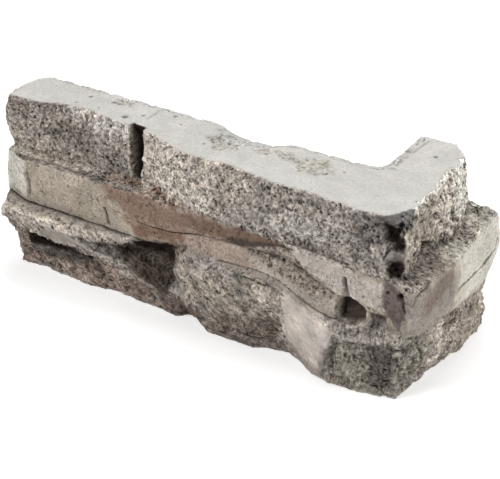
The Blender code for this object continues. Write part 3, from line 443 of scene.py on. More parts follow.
# Cracks of each face: width, depth and line of points
CRACKS = {
    "front": {
        "slab split": (0.6, 0.7, [(-118, 54), (-107, 53.9), (-96, 54.8), (-86, 57.2), (-78, 59.2),
            (-70, 60.2), (-61, 60.8), (-53, 60.6)]),
        "under the middle of the slab": (0.5, 0.6, [(-69, 47.6), (-55, 48.5), (-46.6, 49.4), (-39.5, 48.9),
            (-32.6, 47.6), (-26.6, 45.4), (-20.7, 43), (-11.3, 39.2), (-3.3, 37.4), (3.6, 37.4)]),
        "under the slab": (0.6, 0.9, [(-210, 43.8), (-170, 44), (-125, 43.9), (-116, 43.6)]),
        "dent at the slab's left": (2.2, 1, [(-191.8, 61.5), (-191.3, 49.5)]),
        "dent in the slab": (1.2, 0.8, [(-139.8, 55.5), (-138.5, 51.5), (-137.8, 47.5)]),
        "crease in the left block": (1, 0.8, [(-145, 80), (-140, 76)]),
        "groove in the facet": (1.8, 1.5, [(4.9, 62), (5.6, 56), (5.4, 50)]),
        "nose crack": (0.8, 1.3, [(36, 62), (37.3, 55.8), (40.4, 50.6), (41, 44.5)]),
        "ledge at the corner": (0.9, 1.2, [(25.2, 80.5), (26.2, 83.5), (27.5, 85.2), (34, 85.4)]),
    },
    "side": {
        "arc in the slab's corner": (0.8, 1, [(-30, 66), (-34, 65.5), (-40, 65.3), (-44, 64),
            (-45.2, 61)]),
        "return split": (0.8, 1, [(42, 54), (38, 49), (31.5, 47.5), (22, 47), (5, 47.5), (-7, 47.8)]),
        "slit low on the return": (1.4, 1.4, [(-11, 31), (-4, 29.5), (4, 28)]),
        "split low on the return": (1, 0.9, [(-36, 34), (-30, 24), (-27, 12)]),
    },
    "ledge": {
        "crevice on the ledge": (2.4, 1, [(-200, -39), (-192, -40), (-184, -37.4), (-169, -36.8),
            (-160, -38.4), (-141, -38)]),
    },
    "top": {
        "crack across the top": (0.8, 0.5, [(-129, -16), (-128.4, -10), (-129.4, -4)]),
        "inner crease": (0.9, 0.6, [(-6, -1.5), (-2, -1.5), (2, 2), (5, 3)]),
        "seam of the return": (0.8, 0.5, [(4.2, 6), (4.2, 14), (4.8, 22), (5.2, 31), (6, 39)]),
    },
}

RETURN_POCKET = [(-18, 74), (-10, 74), (-5, 71), (-6, 69.5), (-17, 69.5)]

# Dents of each face: depth, width of the soft edge and outline
DENTS = {
    "front": {
        "corner pocket": (1.2, 2.4, [(23, 97), (29, 95), (33.5, 93), (33.5, 86), (28, 85.5), (24, 88)]),
        "dark pores under it": (0.6, 2, [(27, 79), (33, 80), (33, 72), (30.5, 69.5), (27, 71)]),
        "pocket in the facet": (2, 1.2, [(2, 48), (12, 49.5), (16, 46.5), (16.5, 41.5), (11, 39.5),
            (2.5, 39)]),
        "slit under the spur": (2, 1.6, [(-204, 30.5), (-201, 30), (-198.5, 25.5), (-202, 23)]),
    },
    "side": {
        "return pocket": (3, 2.4, RETURN_POCKET),
    },
}

# Round holes of each face: place, radius and depth
HOLES = {
    "front": [(29.8, 96, 1.5, 2.6), (35, 62.6, 1.9, 3.2), (36.4, 62.2, 1.3, 2.8), (28.4, 62.9, 1, 1.6),
        (-175.2, 37.6, 1.1, 1.4), (-168, 40, 1, 1), (-150.7, 37.6, 1.1, 1.2), (30.5, 74.5, 1, 1.6),
        (28.6, 76.5, 0.9, 1.4), (32, 71.5, 1.1, 1.6), (28.5, 18.5, 0.9, 1.2), (28, 10.5, 0.9, 1.2)],
    "side": [(-28, 84, 1.8, 1.8), (-25, 87, 1.3, 1.4), (8, 88, 1.4, 1.8), (9.5, 84, 1.5, 2),
        (11, 80, 1.3, 1.8), (11.6, 76.5, 1.4, 1.8), (22, 86, 1.4, 1.6), (24, 79, 1.2, 1.4),
        (-6, 91, 1.1, 1.2), (-16, 88, 1.2, 1.2), (1, 80, 1.2, 1.2), (-19, 81, 1.3, 1.4)],
    "top": [(-170, -10, 1.1, 0.7), (-155, -9, 1.3, 0.9), (-152, -9, 1.2, 0.9), (-140, -20, 1.7, 1.2),
        (-133, -14, 0.9, 0.6), (-158, -19, 0.8, 0.5), (-172, -20, 0.9, 0.5), (-118, -6, 1, 0.7),
        (-110, -12, 0.8, 0.5), (-88, -24, 0.8, 0.5), (16, 25, 1.1, 0.8), (-14, -13, 0.9, 0.4)],
}


# The two axes on each face, and the direction into the stone
FACES = {
    "front": ((0, 2), (0.0, 1.0, 0.0)), "side": ((1, 2), (-1.0, 0.0, 0.0)),
    "ledge": ((0, 1), (0.0, 0.0, -1.0)), "top": ((0, 1), (0.0, 0.0, -1.0)),
}


def face_places(stone, face):
    """Places on a face in millimetres, how far each point belongs to it, and the way inward."""
    axes, inward = FACES[face]
    own = stone.side & ~stone.back if face == "side" else getattr(stone, face)
    return stone.co[:, axes] / MM, own, np.array(inward)


def line_share(stone, places, line, width):
    """1 on a line and 0 beyond its width, which changes along it."""
    width = width * (1.0 + 0.9 * GRAIN.rough(stone.co, 0.005, 2))
    return ramp(width, 0.15 * width, line_distance(places, line))


def hole_share(places, centre, radius):
    distance = np.linalg.norm(places - np.array(centre), axis=1)
    return ramp(1.25 * radius, 0.6 * radius, distance)


def crack_stone(stone, faces):
    """Open the cracks, press in the dents and sink the holes of some faces."""
    steps = []
    for face in faces:
        places, own, inward = face_places(stone, face)
        shares = [
            (depth, line_share(stone, places, line, width))
            for width, depth, line in CRACKS.get(face, {}).values()
        ] + [
            (depth, patch(places[:, 0], places[:, 1], outline, fade))
            for depth, fade, outline in DENTS.get(face, {}).values()
        ] + [
            (depth, hole_share(places, (u, v), radius)) for u, v, radius, depth in HOLES.get(face, [])
        ]
        steps += [(depth * share * own)[:, None] * MM * inward for depth, share in shares]
    for step in steps:
        stone.co += step


def painted_shade_of_marks(stone):
    """Painted shade in the cracks and the holes, from 0 to 1, darker where a crack is deeper and narrower.
    """
    dark = np.zeros(len(stone.co))
    for face in FACES:
        places, own, _ = face_places(stone, face)
        for width, depth, line in CRACKS.get(face, {}).values():
            darkest = min(1.0, depth) / max(1.0, width)
            dark = np.maximum(dark, line_share(stone, places, line, 1.1 * width) * own * darkest)
        for u, v, radius, _ in HOLES.get(face, []):
            dark = np.maximum(dark, hole_share(places, (u, v), radius) * own)
    return dark


# Three points of the facet broken off the top's outer corner, and how far from it the cut fades
SPALL = [(23.6, -40.4, 100), (31.2, -28.0, 100), (33.5, -40.0, 95.5)]
SPALL_FADE = (0.012, 0.008)


def cut_spall(stone):
    """The slanting facet that is broken off the top's outer corner."""
    a, b, c = (np.array(p) * MM for p in SPALL)
    normal = np.cross(b - a, c - a)
    normal /= np.linalg.norm(normal)
    if normal[0] < 0:
        normal = -normal
    beyond = (stone.co - a) @ normal
    near = ramp(*SPALL_FADE, np.linalg.norm(stone.co - (a + b + c) / 3.0, axis=1))
    level = np.array((normal[0], normal[1], 0.0))
    step = np.maximum(beyond, 0.0) / (level @ level) * near * (stone.co[:, 2] > 0.090)
    stone.co -= step[:, None] * level


# Ways in which the stone split, how far the left slanted part reaches, and how much noise shrinks
# along the way: noise drawn out by it looks longer
UPRIGHT = np.array((0.0, 0.0, 1.0))
SLANTED = np.array((0.86, 0.0, -0.51))
BEDDED = np.array((0.0, 0.98, -0.20))
SLANTED_UP_TO = -0.004
DRAWN_OUT = 0.42


def slant(stone):
    """1 on the left of the low course, which split on a slant, and 0 elsewhere."""
    beyond = stone.co[:, 0] - SLANTED_UP_TO + 0.004 * GRAIN.rough(stone.co, 0.009, 2)
    return stone.low_share * stone.front * ramp(0.002, -0.002, beyond)


def low_return(stone):
    return stone.low_share * stone.side


def along_the_grain(stone):
    """Places in which noise is drawn out the way the stone split: upright, slanted or bedded."""
    way = np.where(slant(stone)[:, None] > 0.5, SLANTED, UPRIGHT)
    way = np.where(low_return(stone)[:, None] > 0.5, BEDDED, way)
    along = (stone.co * way).sum(1)
    return stone.co - (1.0 - DRAWN_OUT) * along[:, None] * way


# Relief: for each place on the stone, the height of each kind of noise in millimetres
RELIEF = {
    "top": {"uneven": 1.0, "chips": 0.3, "grains": 0.4, "fine": 0.2, "pits": -0.9},
    "slab": {"chips": 0.14, "split": 0.18, "fine": 0.18},
    "low": {"uneven": 0.8, "chips": 0.5, "grains": 0.4, "fine": 0.4},
    "rugged": {"facets": 1.2, "split": 1.0, "ribs": 1.3},
    "top of the return": {"split": 0.8, "ribs": 1.1, "wide pits": -2.8},
    "foot of the return": {"facets": 0.9, "split": 0.7, "ribs": 0.9},
    "bulge": {"split": 1.2, "ribs": 0.9},
    "rough band": {"uneven": 0.5, "grains": 0.3},
}


def roughen(stone):
    """Lumps, chips, grains and pits of each course, on the broken faces only."""
    normals = stone.normals()
    places = stone.co.copy()
    x, y, z = places.T
    grain = along_the_grain(stone)
    kinds = {
        "chips": GRAIN.chips(places, 0.0075),
        "facets": GRAIN.chips(places + 0.23, 0.0140),
        "uneven": GRAIN.rough(places, 0.0065, 4, 0.62),
        "split": GRAIN.rough(grain + 0.11, 0.0060, 4, 0.62),
        "grains": GRAIN.billows(places + 0.31, 0.0023, 1),
        "fine": GRAIN.waves(grain + 0.57, 0.0015),
        "pits": GRAIN.pits(places, 0.0032, 0.0014, 0.5),
        "wide pits": GRAIN.pits(places + 0.77, 0.0060, 0.0026, 0.5),
        "ribs": GRAIN.billows(grain + 0.43, 0.0075, 3),
    }
    rugged = sum(stone.on_front(outline, 6.0) for outline in RUGGED)
    shares = {
        "top": stone.top_share,
        "slab": stone.slab_share,
        "low": stone.low_share,
        "rugged": stone.low_share * rugged * (0.35 + 0.65 * ramp(*RUGGED_BELOW, z)),
        "top of the return": stone.side * stone.top_share,
        "foot of the return": low_return(stone),
        "bulge": stone.on_front(BULGE, 6.0),
        "rough band": stone.on_front(ROUGH_BAND, 1.0),
    }
    height = MM * sum(
        shares[place] * amount * kinds[kind]
        for place, amounts in RELIEF.items() for kind, amount in amounts.items()
    )
    on_level = (z > HEIGHT - ON_PLANE) | (z < ON_PLANE)
    near_bed = 1.0 - ramp(0.001, 0.006, z)
    inside_cleft = cleft_share(x, z, 0.001) * stone.front * stone.top_share
    smooth = (1.0 - 0.75 * stone.smooth) * (1.0 - 0.85 * inside_cleft) * (1.0 - 0.5 * near_bed)
    smooth *= (1.0 - 0.85 * stone.ledge) * np.where(stone.chalky, 0.7, 1.0)
    move = normals * (height * smooth)[:, None]
    move[on_level, 2] = 0.0
    stone.co += move * (~stone.back)[:, None]


def wear_back_arris(stone):
    """Break the thin arris along the back of the top unevenly."""
    x, y, z = stone.co.T
    from_back = np.where(x < 0.0, -y, x)
    near = ramp(0.0032, 0.0004, from_back) * (z > HEIGHT - 0.008)
    drop = 0.0013 * ramp(-0.1, 0.5, GRAIN.rough(stone.co * (1, 1, 0), 0.007, 3))
    stone.co[:, 2] -= near * drop * ~stone.filled


# Places on the flat top that crumble
CRUMBLY = [
    [(-92, -16), (-84, -9), (-76, -9), (-69, -20), (-80, -27)],
    [(-72, -12), (-66, -9), (-56, -12), (-53, -18), (-62, -17)],
    [(-56, -12), (-45, -8), (-37, -15), (-46, -18)],
    [(-42, -15), (-34, -8), (-26, -6), (-17, -17), (-24, -23), (-34, -24)],
    [(-158, -3), (-146, -4), (-143, -9), (-154, -8)],
]


def crumble_top(stone):
    """How crumbly each point of the flat top is, and the small lumps and pits there."""
    x, y, _ = stone.co.T
    wander = 1.5 * GRAIN.rough(stone.co, 0.004, 2)
    share = np.zeros(len(x))
    for outline in CRUMBLY:
        share = np.maximum(share, patch(x / MM + wander, y / MM + wander, outline, 4.0))
    share = share * stone.top
    drop = 0.0006 + 0.0006 * GRAIN.billows(stone.co, 0.0042, 2)
    stone.co[:, 2] -= share * drop
    return share


# Places on the front where the low course bulges, and where it broke most rugged
BULGE = [(-90, 44), (-60, 45), (-38, 42), (-33, 28), (-40, 6), (-60, 2), (-86, 4), (-96, 20)]
RUGGED = [
    [(-225, 48), (-128, 46), (-132, 36), (-108, 10), (-108, -5), (-225, -5)],
    [(2, 42), (50, 46), (50, -5), (-6, -5)],
]

# The dark facet in the slab, which broke rough
ROUGH_BAND = [(-53, 60.6), (-48.8, 61.9), (-28.2, 68.5), (-19.5, 63.6), (-2.6, 55.1), (-1, 49), (-7, 46),
    (-12.5, 46.6), (-25.6, 50), (-37.6, 53.1), (-49.8, 57.2)]

# Places on the front that broke smooth
SMOOTH_FACETS = [
    [(-29, 44), (-7, 37), (1, 32), (0, 24), (-3, 12), (-7, 0), (-20, 0), (-28, 12)],
    [(-177, 34), (-176, 40), (-160, 39), (-151, 33), (-160, 31), (-172, 31)],
    [(27, 85), (35, 85), (35, 79), (27, 79)],
    [(22, 101), (33, 101), (35, 95), (24, 98)],
]


# Colours of the stone, as linear red, green and blue
COLOURS = {
    "chalk": (0.565, 0.55, 0.515), "bone": (0.67, 0.60, 0.53), "worn": (0.58, 0.53, 0.485),
    "cream": (0.52, 0.46, 0.40), "sand": (0.505, 0.44, 0.357), "tan": (0.45, 0.395, 0.335),
    "ash": (0.42, 0.375, 0.335), "grey": (0.37, 0.33, 0.29), "slate": (0.27, 0.235, 0.205),
    "brown grey": (0.365, 0.29, 0.245), "earth": (0.28, 0.23, 0.195), "char": (0.195, 0.175, 0.158),
    # The darkest browns on the next line are laid mostly as painted shade in hollows, pockets and under
    # overhangs
    "shadow brown": (0.10, 0.078, 0.063), "pitch": (0.022, 0.013, 0.010), "rust": (0.31, 0.215, 0.165),
    "umber": (0.24, 0.163, 0.12), "clay": (0.27, 0.175, 0.125), "mauve": (0.17, 0.145, 0.13),
    "pink": (0.68, 0.61, 0.55), "moss": (0.33, 0.30, 0.255), "lime": (0.745, 0.70, 0.62),
    "dust": (0.47, 0.44, 0.385), "olive": (0.39, 0.335, 0.285), "shade": (0.14, 0.132, 0.122),
    "blush": (0.625, 0.56, 0.505), "bark": (0.235, 0.185, 0.155), "plum": (0.19, 0.152, 0.137),
    "rose": (0.46, 0.36, 0.30), "cave": (0.075, 0.058, 0.048),
}

# Fields of colour of each face: colour, width of the soft edge and outline
FRONT_FIELDS = [
    ("slate", 5, [(-210, 99), (-181, 102), (-180, 94), (-209, 91)]),
    ("slate", 5, [(-185, 91), (-167, 93), (-152, 91), (-153, 80), (-175, 76), (-184, 82)]),
    ("grey", 4, [(-215, 92), (-200, 93), (-200, 80), (-215, 76)]),
    ("cream", 5, [(-210, 79), (-186, 80), (-170, 75), (-150, 74), (-150, 70), (-205, 70)]),
    ("worn", 5, [(-172, 102), (-132, 102), (-132, 91), (-152, 92), (-167, 95)]),
    ("grey", 5, [(-149, 84), (-131, 89), (-128, 71), (-147, 71)]),
    ("bone", 6, [(-126, 102), (-98, 102), (-88, 98), (-77, 97), (-72, 87), (-74, 72), (-91, 71),
        (-110, 71), (-126, 71)]),
    ("cream", 5, [(-92, 102), (-60, 102), (-70, 92), (-86, 93)]),
    ("cream", 6, [(-70, 101), (-48, 101), (-52, 84), (-68, 86)]),
    ("grey", 5, [(-45, 98), (-13, 101), (-10, 95), (-26, 90), (-42, 91)]),
    ("worn", 5, [(-41, 82), (-20, 87), (-5, 86), (-7, 80), (-22, 77), (-41, 77)]),
    # The next two fields paint shade in the line along the foot of the top course, where it meets the slab
    ("slate", 4, [(-45, 71), (-20, 75), (6, 74), (10, 66), (-42, 66)]),
    ("shadow brown", 2.5, [(-36, 70.5), (-15, 72), (6, 72), (10, 68), (-30, 67)]),
    ("char", 5, [(8, 99), (24, 102), (27, 87), (16, 85), (9, 89)]),
    ("shade", 2, [(21, 103), (38, 103), (38, 95), (30, 95), (22, 97.5)]),
    # Painted shade in the corner pocket
    ("pitch", 3, [(22, 97), (30, 95), (34, 94), (35, 85), (28, 86), (24, 88)]),
    ("mauve", 4, [(26, 85), (36, 85), (36, 79), (27, 80)]),
    # Painted shade in the dark pores under the corner pocket
    ("pitch", 3, [(27, 80), (35, 81), (35, 70), (28, 70), (26, 73)]),
    ("lime", 2, [(-215, 70), (-193, 70), (-193, 44), (-215, 44)]),
    ("clay", 1.5, [(-213, 98), (-209.5, 98), (-209.5, 95), (-213, 95)]),
    ("rust", 7, [(-144, 73), (-133, 73), (-104, 73), (-69, 69), (-50, 66), (-50, 58), (-78, 59),
        (-107, 53), (-124, 54), (-134, 60)]),
    # The slab's brown end, darkened further as painted shade under the top course
    ("umber", 3, [(-86, 68), (-53, 70), (-26, 70), (-30, 67), (-52, 60), (-78, 60)]),
    # Painted shadow along the upper edge of the rough band
    ("shadow brown", 2, [(-64, 61), (-52, 61), (-30, 67), (-28, 70), (-42, 67), (-62, 63.5)]),
    ("clay", 5, [(-127, 53), (-107, 54), (-87, 57), (-86, 51), (-99, 48), (-119, 44)]),
    ("cream", 3, [(-88, 57), (-58, 60), (-45, 55), (-26, 52), (0, 47), (2, 40), (-20, 42), (-88, 48)]),
    ("rose", 5, [(-91, 57), (-70, 60), (-50, 57), (-44, 51), (-52, 49), (-70, 48), (-90, 48)]),
    ("olive", 1.2, ROUGH_BAND),
    ("blush", 1.4, [(-29, 71), (5, 71), (10, 67), (28, 66), (28, 51), (14, 52), (1, 49), (-4, 56),
        (-13, 60), (-21, 65)]),
    ("plum", 3, [(26, 70), (36, 67), (42, 64), (43, 45), (36, 44), (30, 47), (26, 53)]),
    ("char", 3, [(29, 48), (36, 46), (34, 44)]),
    ("cream", 4, [(-212, 47), (-120, 45), (-122, 38), (-140, 37), (-165, 40), (-186, 41), (-205, 35)]),
    ("brown grey", 6, [(-212, 26), (-190, 25), (-150, 24), (-126, 20), (-112, 9), (-112, 0), (-212, 0)]),
    ("mauve", 5, [(-193, 25), (-150, 24), (-144, 17), (-168, 12), (-192, 13)]),
    # Painted shadow in the undercut below the grey facet
    ("pitch", 2.5, [(-193, 29), (-171, 29), (-155, 30), (-147, 25), (-150, 20), (-170, 19), (-192, 19)]),
    ("grey", 4, [(-178, 36), (-163, 40), (-152, 35), (-160, 31), (-178, 31)]),
    ("char", 6, [(-157, 38), (-147, 40), (-132, 38), (-130, 29), (-140, 30), (-150, 34)]),
    # The deep hollow under the slab: dark brown stone with painted shade, darkest in its depth
    ("shadow brown", 3, [(-133, 37), (-115, 42), (-87, 49), (-93, 41), (-97, 33), (-94, 27), (-102, 18),
        (-115, 12), (-124, 25)]),
    ("pitch", 3, [(-124, 42), (-87, 50), (-90, 42), (-100, 35), (-112, 34), (-122, 36)]),
    # Painted highlight along the crest of the long slanting ridge
    ("cream", 2.5, [(-163, 41), (-153, 36), (-140, 31), (-124, 27), (-112, 18), (-105, 11), (-114, 12),
        (-126, 20), (-140, 25), (-153, 31)]),
    ("cream", 2.5, [(-192, 38), (-183, 43), (-180, 36), (-175, 29), (-178, 28), (-184, 33)]),
    # Painted shade in the small pocket at the foot of the hollow
    ("shadow brown", 3, [(-110, 21), (-103, 22), (-98, 15), (-109, 11)]),
    ("tan", 6, [(-94, 47), (-60, 48), (-38, 43), (-34, 26), (-60, 20), (-88, 22)]),
    ("ash", 3, [(-86, 47), (-60, 48), (-38, 48), (-26, 44), (-36, 40), (-60, 41), (-84, 42)]),
    ("earth", 4, [(-66, 42), (-60, 42), (-46, 27), (-52, 25)]),
    # Painted shade of an upright shadow in the bulge, on greenish stone
    ("moss", 5, [(-57, 47), (-46, 47), (-46, 29), (-57, 30)]),
    ("cream", 4, [(-46, 46), (-30, 40), (-28, 24), (-36, 24)]),
    ("earth", 7, [(-75, 17), (-33, 25), (-33, 0), (-76, 0)]),
    ("bark", 5, [(-110, 12), (-76, 16), (-76, 0), (-110, 0)]),
    ("pink", 3, [(-30, 44), (-7, 38), (5, 33), (1, 27), (-2, 17), (-6, 6), (-20, 8), (-31, 14)]),
    ("moss", 4, [(-4, 20), (8, 30), (24, 32), (34, 30), (34, 0), (-7, 0)]),
    ("mauve", 4, [(19, 33), (35, 40), (33, 8), (21, 6)]),
    ("ash", 4, [(2, 42), (40, 44), (38, 38), (20, 33), (4, 30)]),
    # Painted shade in the pocket in the facet
    ("cave", 1.5, [(2, 48), (12, 49.5), (16, 46.5), (16.5, 41.5), (11, 39), (2, 38)]),
    ("mauve", 2, [(18, 48), (28, 44), (20, 40)]),
]
LEDGE_FIELDS = [
    # Dark stone and painted shade in the crevice where the ledge meets the top course
    ("slate", 2.5, [(-206, -42), (-118, -42), (-118, -37), (-160, -36.5), (-206, -37.5)]),
]
SIDE_FIELDS = [
    ("grey", 6, [(-47, 40), (-6, 38), (-2, 0), (-47, 0)]),
    ("tan", 8, [(-6, 36), (48, 30), (48, 0), (-2, 0)]),
    ("moss", 4, [(-47, 40), (-38, 40), (-24, 20), (-26, 0), (-36, 0), (-40, 20)]),
    ("cream", 4, [(-30, 38), (-14, 36), (-4, 12), (-8, 2), (-16, 6), (-20, 22)]),
    ("earth", 3, [(-12, 36), (6, 33), (4, 28), (-10, 28)]),
    ("grey", 5, [(-48, 66), (-10, 66), (-6, 38), (-48, 42)]),
    ("earth", 5, [(-36, 64), (-8, 66), (-12, 57), (-28, 50), (-40, 52)]),
    ("lime", 6, [(-6, 66), (48, 70), (48, 30), (0, 36)]),
    ("slate", 2, [(-48, 71), (48, 73), (48, 68), (22, 66.5), (-35, 66.8), (-48, 67.5)]),
    ("tan", 5, [(-48, 102), (-8, 102), (-3, 84), (-3, 70), (-48, 70)]),
    # Painted shade in the return pocket
    ("shadow brown", 2, RETURN_POCKET),
    ("bone", 6, [(-4, 102), (14, 102), (12, 72), (-2, 71)]),
    ("lime", 8, [(14, 102), (48, 102), (48, 70), (12, 72)]),
    ("lime", 2, [(-30, 102), (48, 102), (48, 97.5), (-30, 97.5)]),
    ("shade", 2, [(-44, 103), (-26, 103), (-29, 94.5), (-42, 94.5)]),
]
FIELDS = {"front": FRONT_FIELDS, "ledge": LEDGE_FIELDS, "side": SIDE_FIELDS}
COURSE_COLOURS = {"top": "ash", "slab": "sand", "low": "ash", "level": "chalk"}
FIELD_WANDER = 1.7
WARM_TO_COOL = np.array((1.0, 0.2, -1.0))

# Heights and depths at which the rugged relief, the streaks and the dark of the cleft set in
RUGGED_BELOW = (0.040, 0.031)
STREAKS_BELOW = (0.042, 0.032)
CLEFT_DARK_BEHIND = (-0.031, -0.0285)

# Depths at which the darkening of hollows, dirt and painted shade together, begins and is full; crests
# of that height are lightened alike, as wear and painted highlight
SMALL_HOLLOW = (0.00003, 0.00024)
WIDE_HOLLOW = (0.00006, 0.0005)


def hollowness(stone, normals, rounds):
    """How far each point lies under the evened-out surface round it."""
    even = stone.co.copy()
    for _ in range(rounds):
        even += 0.7 * (stone.average(even) - even)
    return ((even - stone.co) * normals).sum(1)


def paint_stone(stone, crumbly):
    """Colour and grit of each point: its course's, then the fields', then dirt and painted shade in the
    hollows and wear and painted highlight on the crests.
    """
    places = stone.co
    x, y, z = places.T
    tones = {name: np.array(colour) for name, colour in COLOURS.items()}
    shares = {"top": stone.top_share, "slab": stone.slab_share, "low": stone.low_share}
    colour = sum(share[:, None] * tones[COURSE_COLOURS[part]] for part, share in shares.items())
    level = stone.filled | stone.back | stone.chalky
    colour[level] = tones[COURSE_COLOURS["level"]]
    wander = np.stack([
        GRAIN.rough(places, 0.008, 4, 0.7), GRAIN.rough(places + 0.41, 0.008, 4, 0.7)
    ], 1)
    for face, fields in FIELDS.items():
        spots, own, _ = face_places(stone, face)
        for name, fade, outline in fields:
            u, v = (spots + FIELD_WANDER * (fade - 1.0) * wander).T
            share = patch(u, v, outline, fade) * own * ~stone.chalky
            colour += share[:, None] * (tones[name] - colour)
    colour += 0.8 * crumbly[:, None] * (tones["dust"] - colour)

    inside = cleft_share(x, z, 0.001) * stone.front * stone.top_share * ramp(*CLEFT_DARK_BEHIND, y)
    colour += inside[:, None] * (tones["pitch"] - colour)

    normals = stone.normals()
    small = hollowness(stone, normals, 1)
    wide = hollowness(stone, normals, 6)
    wide = wide * ramp(0.0016, 0.0009, wide)
    # Hollows are darkened, partly as dirt and partly as painted shade; crests are lightened, partly as wear
    # and partly as painted highlight
    dirt_and_shade = 0.40 * ramp(*SMALL_HOLLOW, small) + 0.28 * ramp(*WIDE_HOLLOW, wide)
    wear_and_highlight = 0.26 * ramp(*SMALL_HOLLOW, -small) + 0.24 * ramp(*WIDE_HOLLOW, -wide)
    rough = ~level | (crumbly > 0.2) | stone.chalky
    wear_and_highlight = wear_and_highlight * (1.0 - 0.8 * crumbly) * np.where(stone.chalky, 0.3, 1.0 - 0.4 * stone.slab_share)
    # On the ledge and on the return's slab the hollows follow the mesh's own squares, so the dirt and
    # painted shade of the hollows and the wear and painted highlight of the crests are weaker there
    even = 1.0 - 0.7 * stone.ledge - 0.6 * stone.slab_share * stone.side * (1.0 - stone.ledge)
    colour *= 1.0 + (rough * even * (wear_and_highlight - dirt_and_shade))[:, None]
    colour *= 1.0 - 0.15 * (stone.ledge * stone.side)[:, None]
    streaks = GRAIN.rough(along_the_grain(stone) + 0.29, 0.0060, 4, 0.75)
    streaks *= (slant(stone) + low_return(stone)) * ramp(*STREAKS_BELOW, z)
    streaks *= 1.0 - 0.8 * stone.smooth
    colour *= 1.0 + 0.85 * streaks[:, None]
    # Cracks and holes are darkened by the painted shade in them
    colour *= 1.0 - 0.8 * painted_shade_of_marks(stone)[:, None]
    blotch = GRAIN.rough(places + 0.19, 0.011, 3)
    tint = GRAIN.rough(places + 0.73, 0.007, 2)
    colour *= 1.0 + (0.14 * rough + 0.16 + 0.20 * stone.low_share)[:, None] * blotch[:, None]
    tint = tint * (0.01 + 0.02 * rough * (1.0 - stone.slab_share))
    colour *= 1.0 + tint[:, None] * WARM_TO_COOL

    band = stone.on_front(ROUGH_BAND, 1.0)
    grit = 1.10 * stone.top_share + np.where(stone.side, 0.50, 0.72) * stone.slab_share
    grit += 0.88 * stone.low_share + 0.45 * band + 0.4 * stone.ledge
    grit = grit * (1.0 - 0.6 * stone.smooth) * (1.0 - 0.7 * inside)
    grit[level] = 0.22
    grit[stone.chalky] = 0.6
    grit += 0.4 * crumbly
    upright = 0.4 * stone.slab_share * ~stone.side + ~stone.side * stone.low_share
    upright = upright * ~level * (1.0 - stone.ledge)
    return np.clip(colour, 0.0, 1.0), grit, upright


def keep_attribute(mesh, name, kind, values):
    """Store one value or colour for each point of the mesh."""
    attribute = mesh.attributes.new(name, kind, "POINT")
    if kind == "FLOAT_COLOR":
        values = np.hstack([values, np.ones((len(values), 1))])
        attribute.data.foreach_set("color", values.astype(np.float32).ravel())
    else:
        attribute.data.foreach_set("value", values.astype(np.float32))


def loop_at(mesh, level):
    """The open border of the mesh round its top or its bed, as a ring of its points."""
    links = {}
    for edge in mesh.edges:
        if edge.is_boundary and all(abs(v.co.z - level) < 0.02 for v in edge.verts):
            a, b = edge.verts
            links.setdefault(a, []).append(b)
            links.setdefault(b, []).append(a)
    start = next(iter(links))
    ring = [start]
    before, here = None, start
    while True:
        step = [v for v in links[here] if v is not before][0]
        if step is start:
            return ring
        ring.append(step)
        before, here = here, step


def fill_level(mesh, level, spacing):
    """Close the top or the bed with evenly spaced triangles."""
    ring = loop_at(mesh, level)
    places = [Vector((v.co.x, v.co.y)) for v in ring]
    outline = [tuple(p) for p in places]
    corners = list(ring)
    if spacing:
        low = np.min(outline, 0)
        high = np.max(outline, 0)
        chance = np.random.default_rng(seed=11)
        rows = np.arange(low[1], high[1], spacing * 0.866)
        grid = [
            (u + (0.5 * spacing if i % 2 else 0.0), v)
            for i, v in enumerate(rows) for u in np.arange(low[0], high[0], spacing)
        ]
        grid = np.array(grid) + chance.uniform(-0.12, 0.12, (len(grid), 2)) * spacing
        inside = patch(grid[:, 0], grid[:, 1], outline, 1e-9) > 0.5
        clear = line_distance(grid, outline + [outline[0]]) > 0.55 * spacing
        for u, v in grid[inside & clear]:
            places.append(Vector((u, v)))
            corners.append(mesh.verts.new((u, v, level)))
    inside_only = 1
    merge_distance = 1e-8
    _, _, triangles, sources, _, _ = delaunay_2d_cdt(
        places, [], [list(range(len(ring)))], inside_only, merge_distance)
    for triangle in triangles:
        mesh.faces.new([corners[sources[corner][0]] for corner in triangle])


def build_stone(node):
    """The dressed stone as one closed mesh."""
    skin = cut_skin(node)
    mesh = bpy.data.meshes.new("stone_skin")
    skin.to_mesh(mesh)
    skin.free()
    stone = Stone(mesh)
    free = ~stone.back & (stone.co[:, 2] < HEIGHT - ON_PLANE) & (stone.co[:, 2] > ON_PLANE)
    stone.even_out(SMOOTHING_ROUNDS, free * (0.5 - 0.42 * stone.slab_share))
    break_low_front(stone)
    carve_cleft(stone)
    cut_spall(stone)
    stone.even_out(1, 0.30 * free)
    roughen(stone)
    wear_back_arris(stone)
    crack_stone(stone, ("front", "side", "ledge"))
    stone.write()

    skin_count = len(mesh.vertices)
    whole = bmesh.new()
    whole.from_mesh(mesh)
    fill_level(whole, HEIGHT, TOP_SPACING)
    fill_level(whole, 0.0, None)
    bmesh.ops.recalc_face_normals(whole, faces=whole.faces)
    whole.to_mesh(mesh)
    whole.free()

    stone = Stone(mesh, skin_count)
    crumbly = crumble_top(stone)
    crack_stone(stone, ("top",))
    stone.write()
    tone, grit, upright = paint_stone(stone, crumbly)
    keep_attribute(mesh, "tone", "FLOAT_COLOR", tone)
    for name, values in (("slanted", slant(stone)), ("grit", grit), ("upright", upright)):
        keep_attribute(mesh, name, "FLOAT", values)
    return mesh


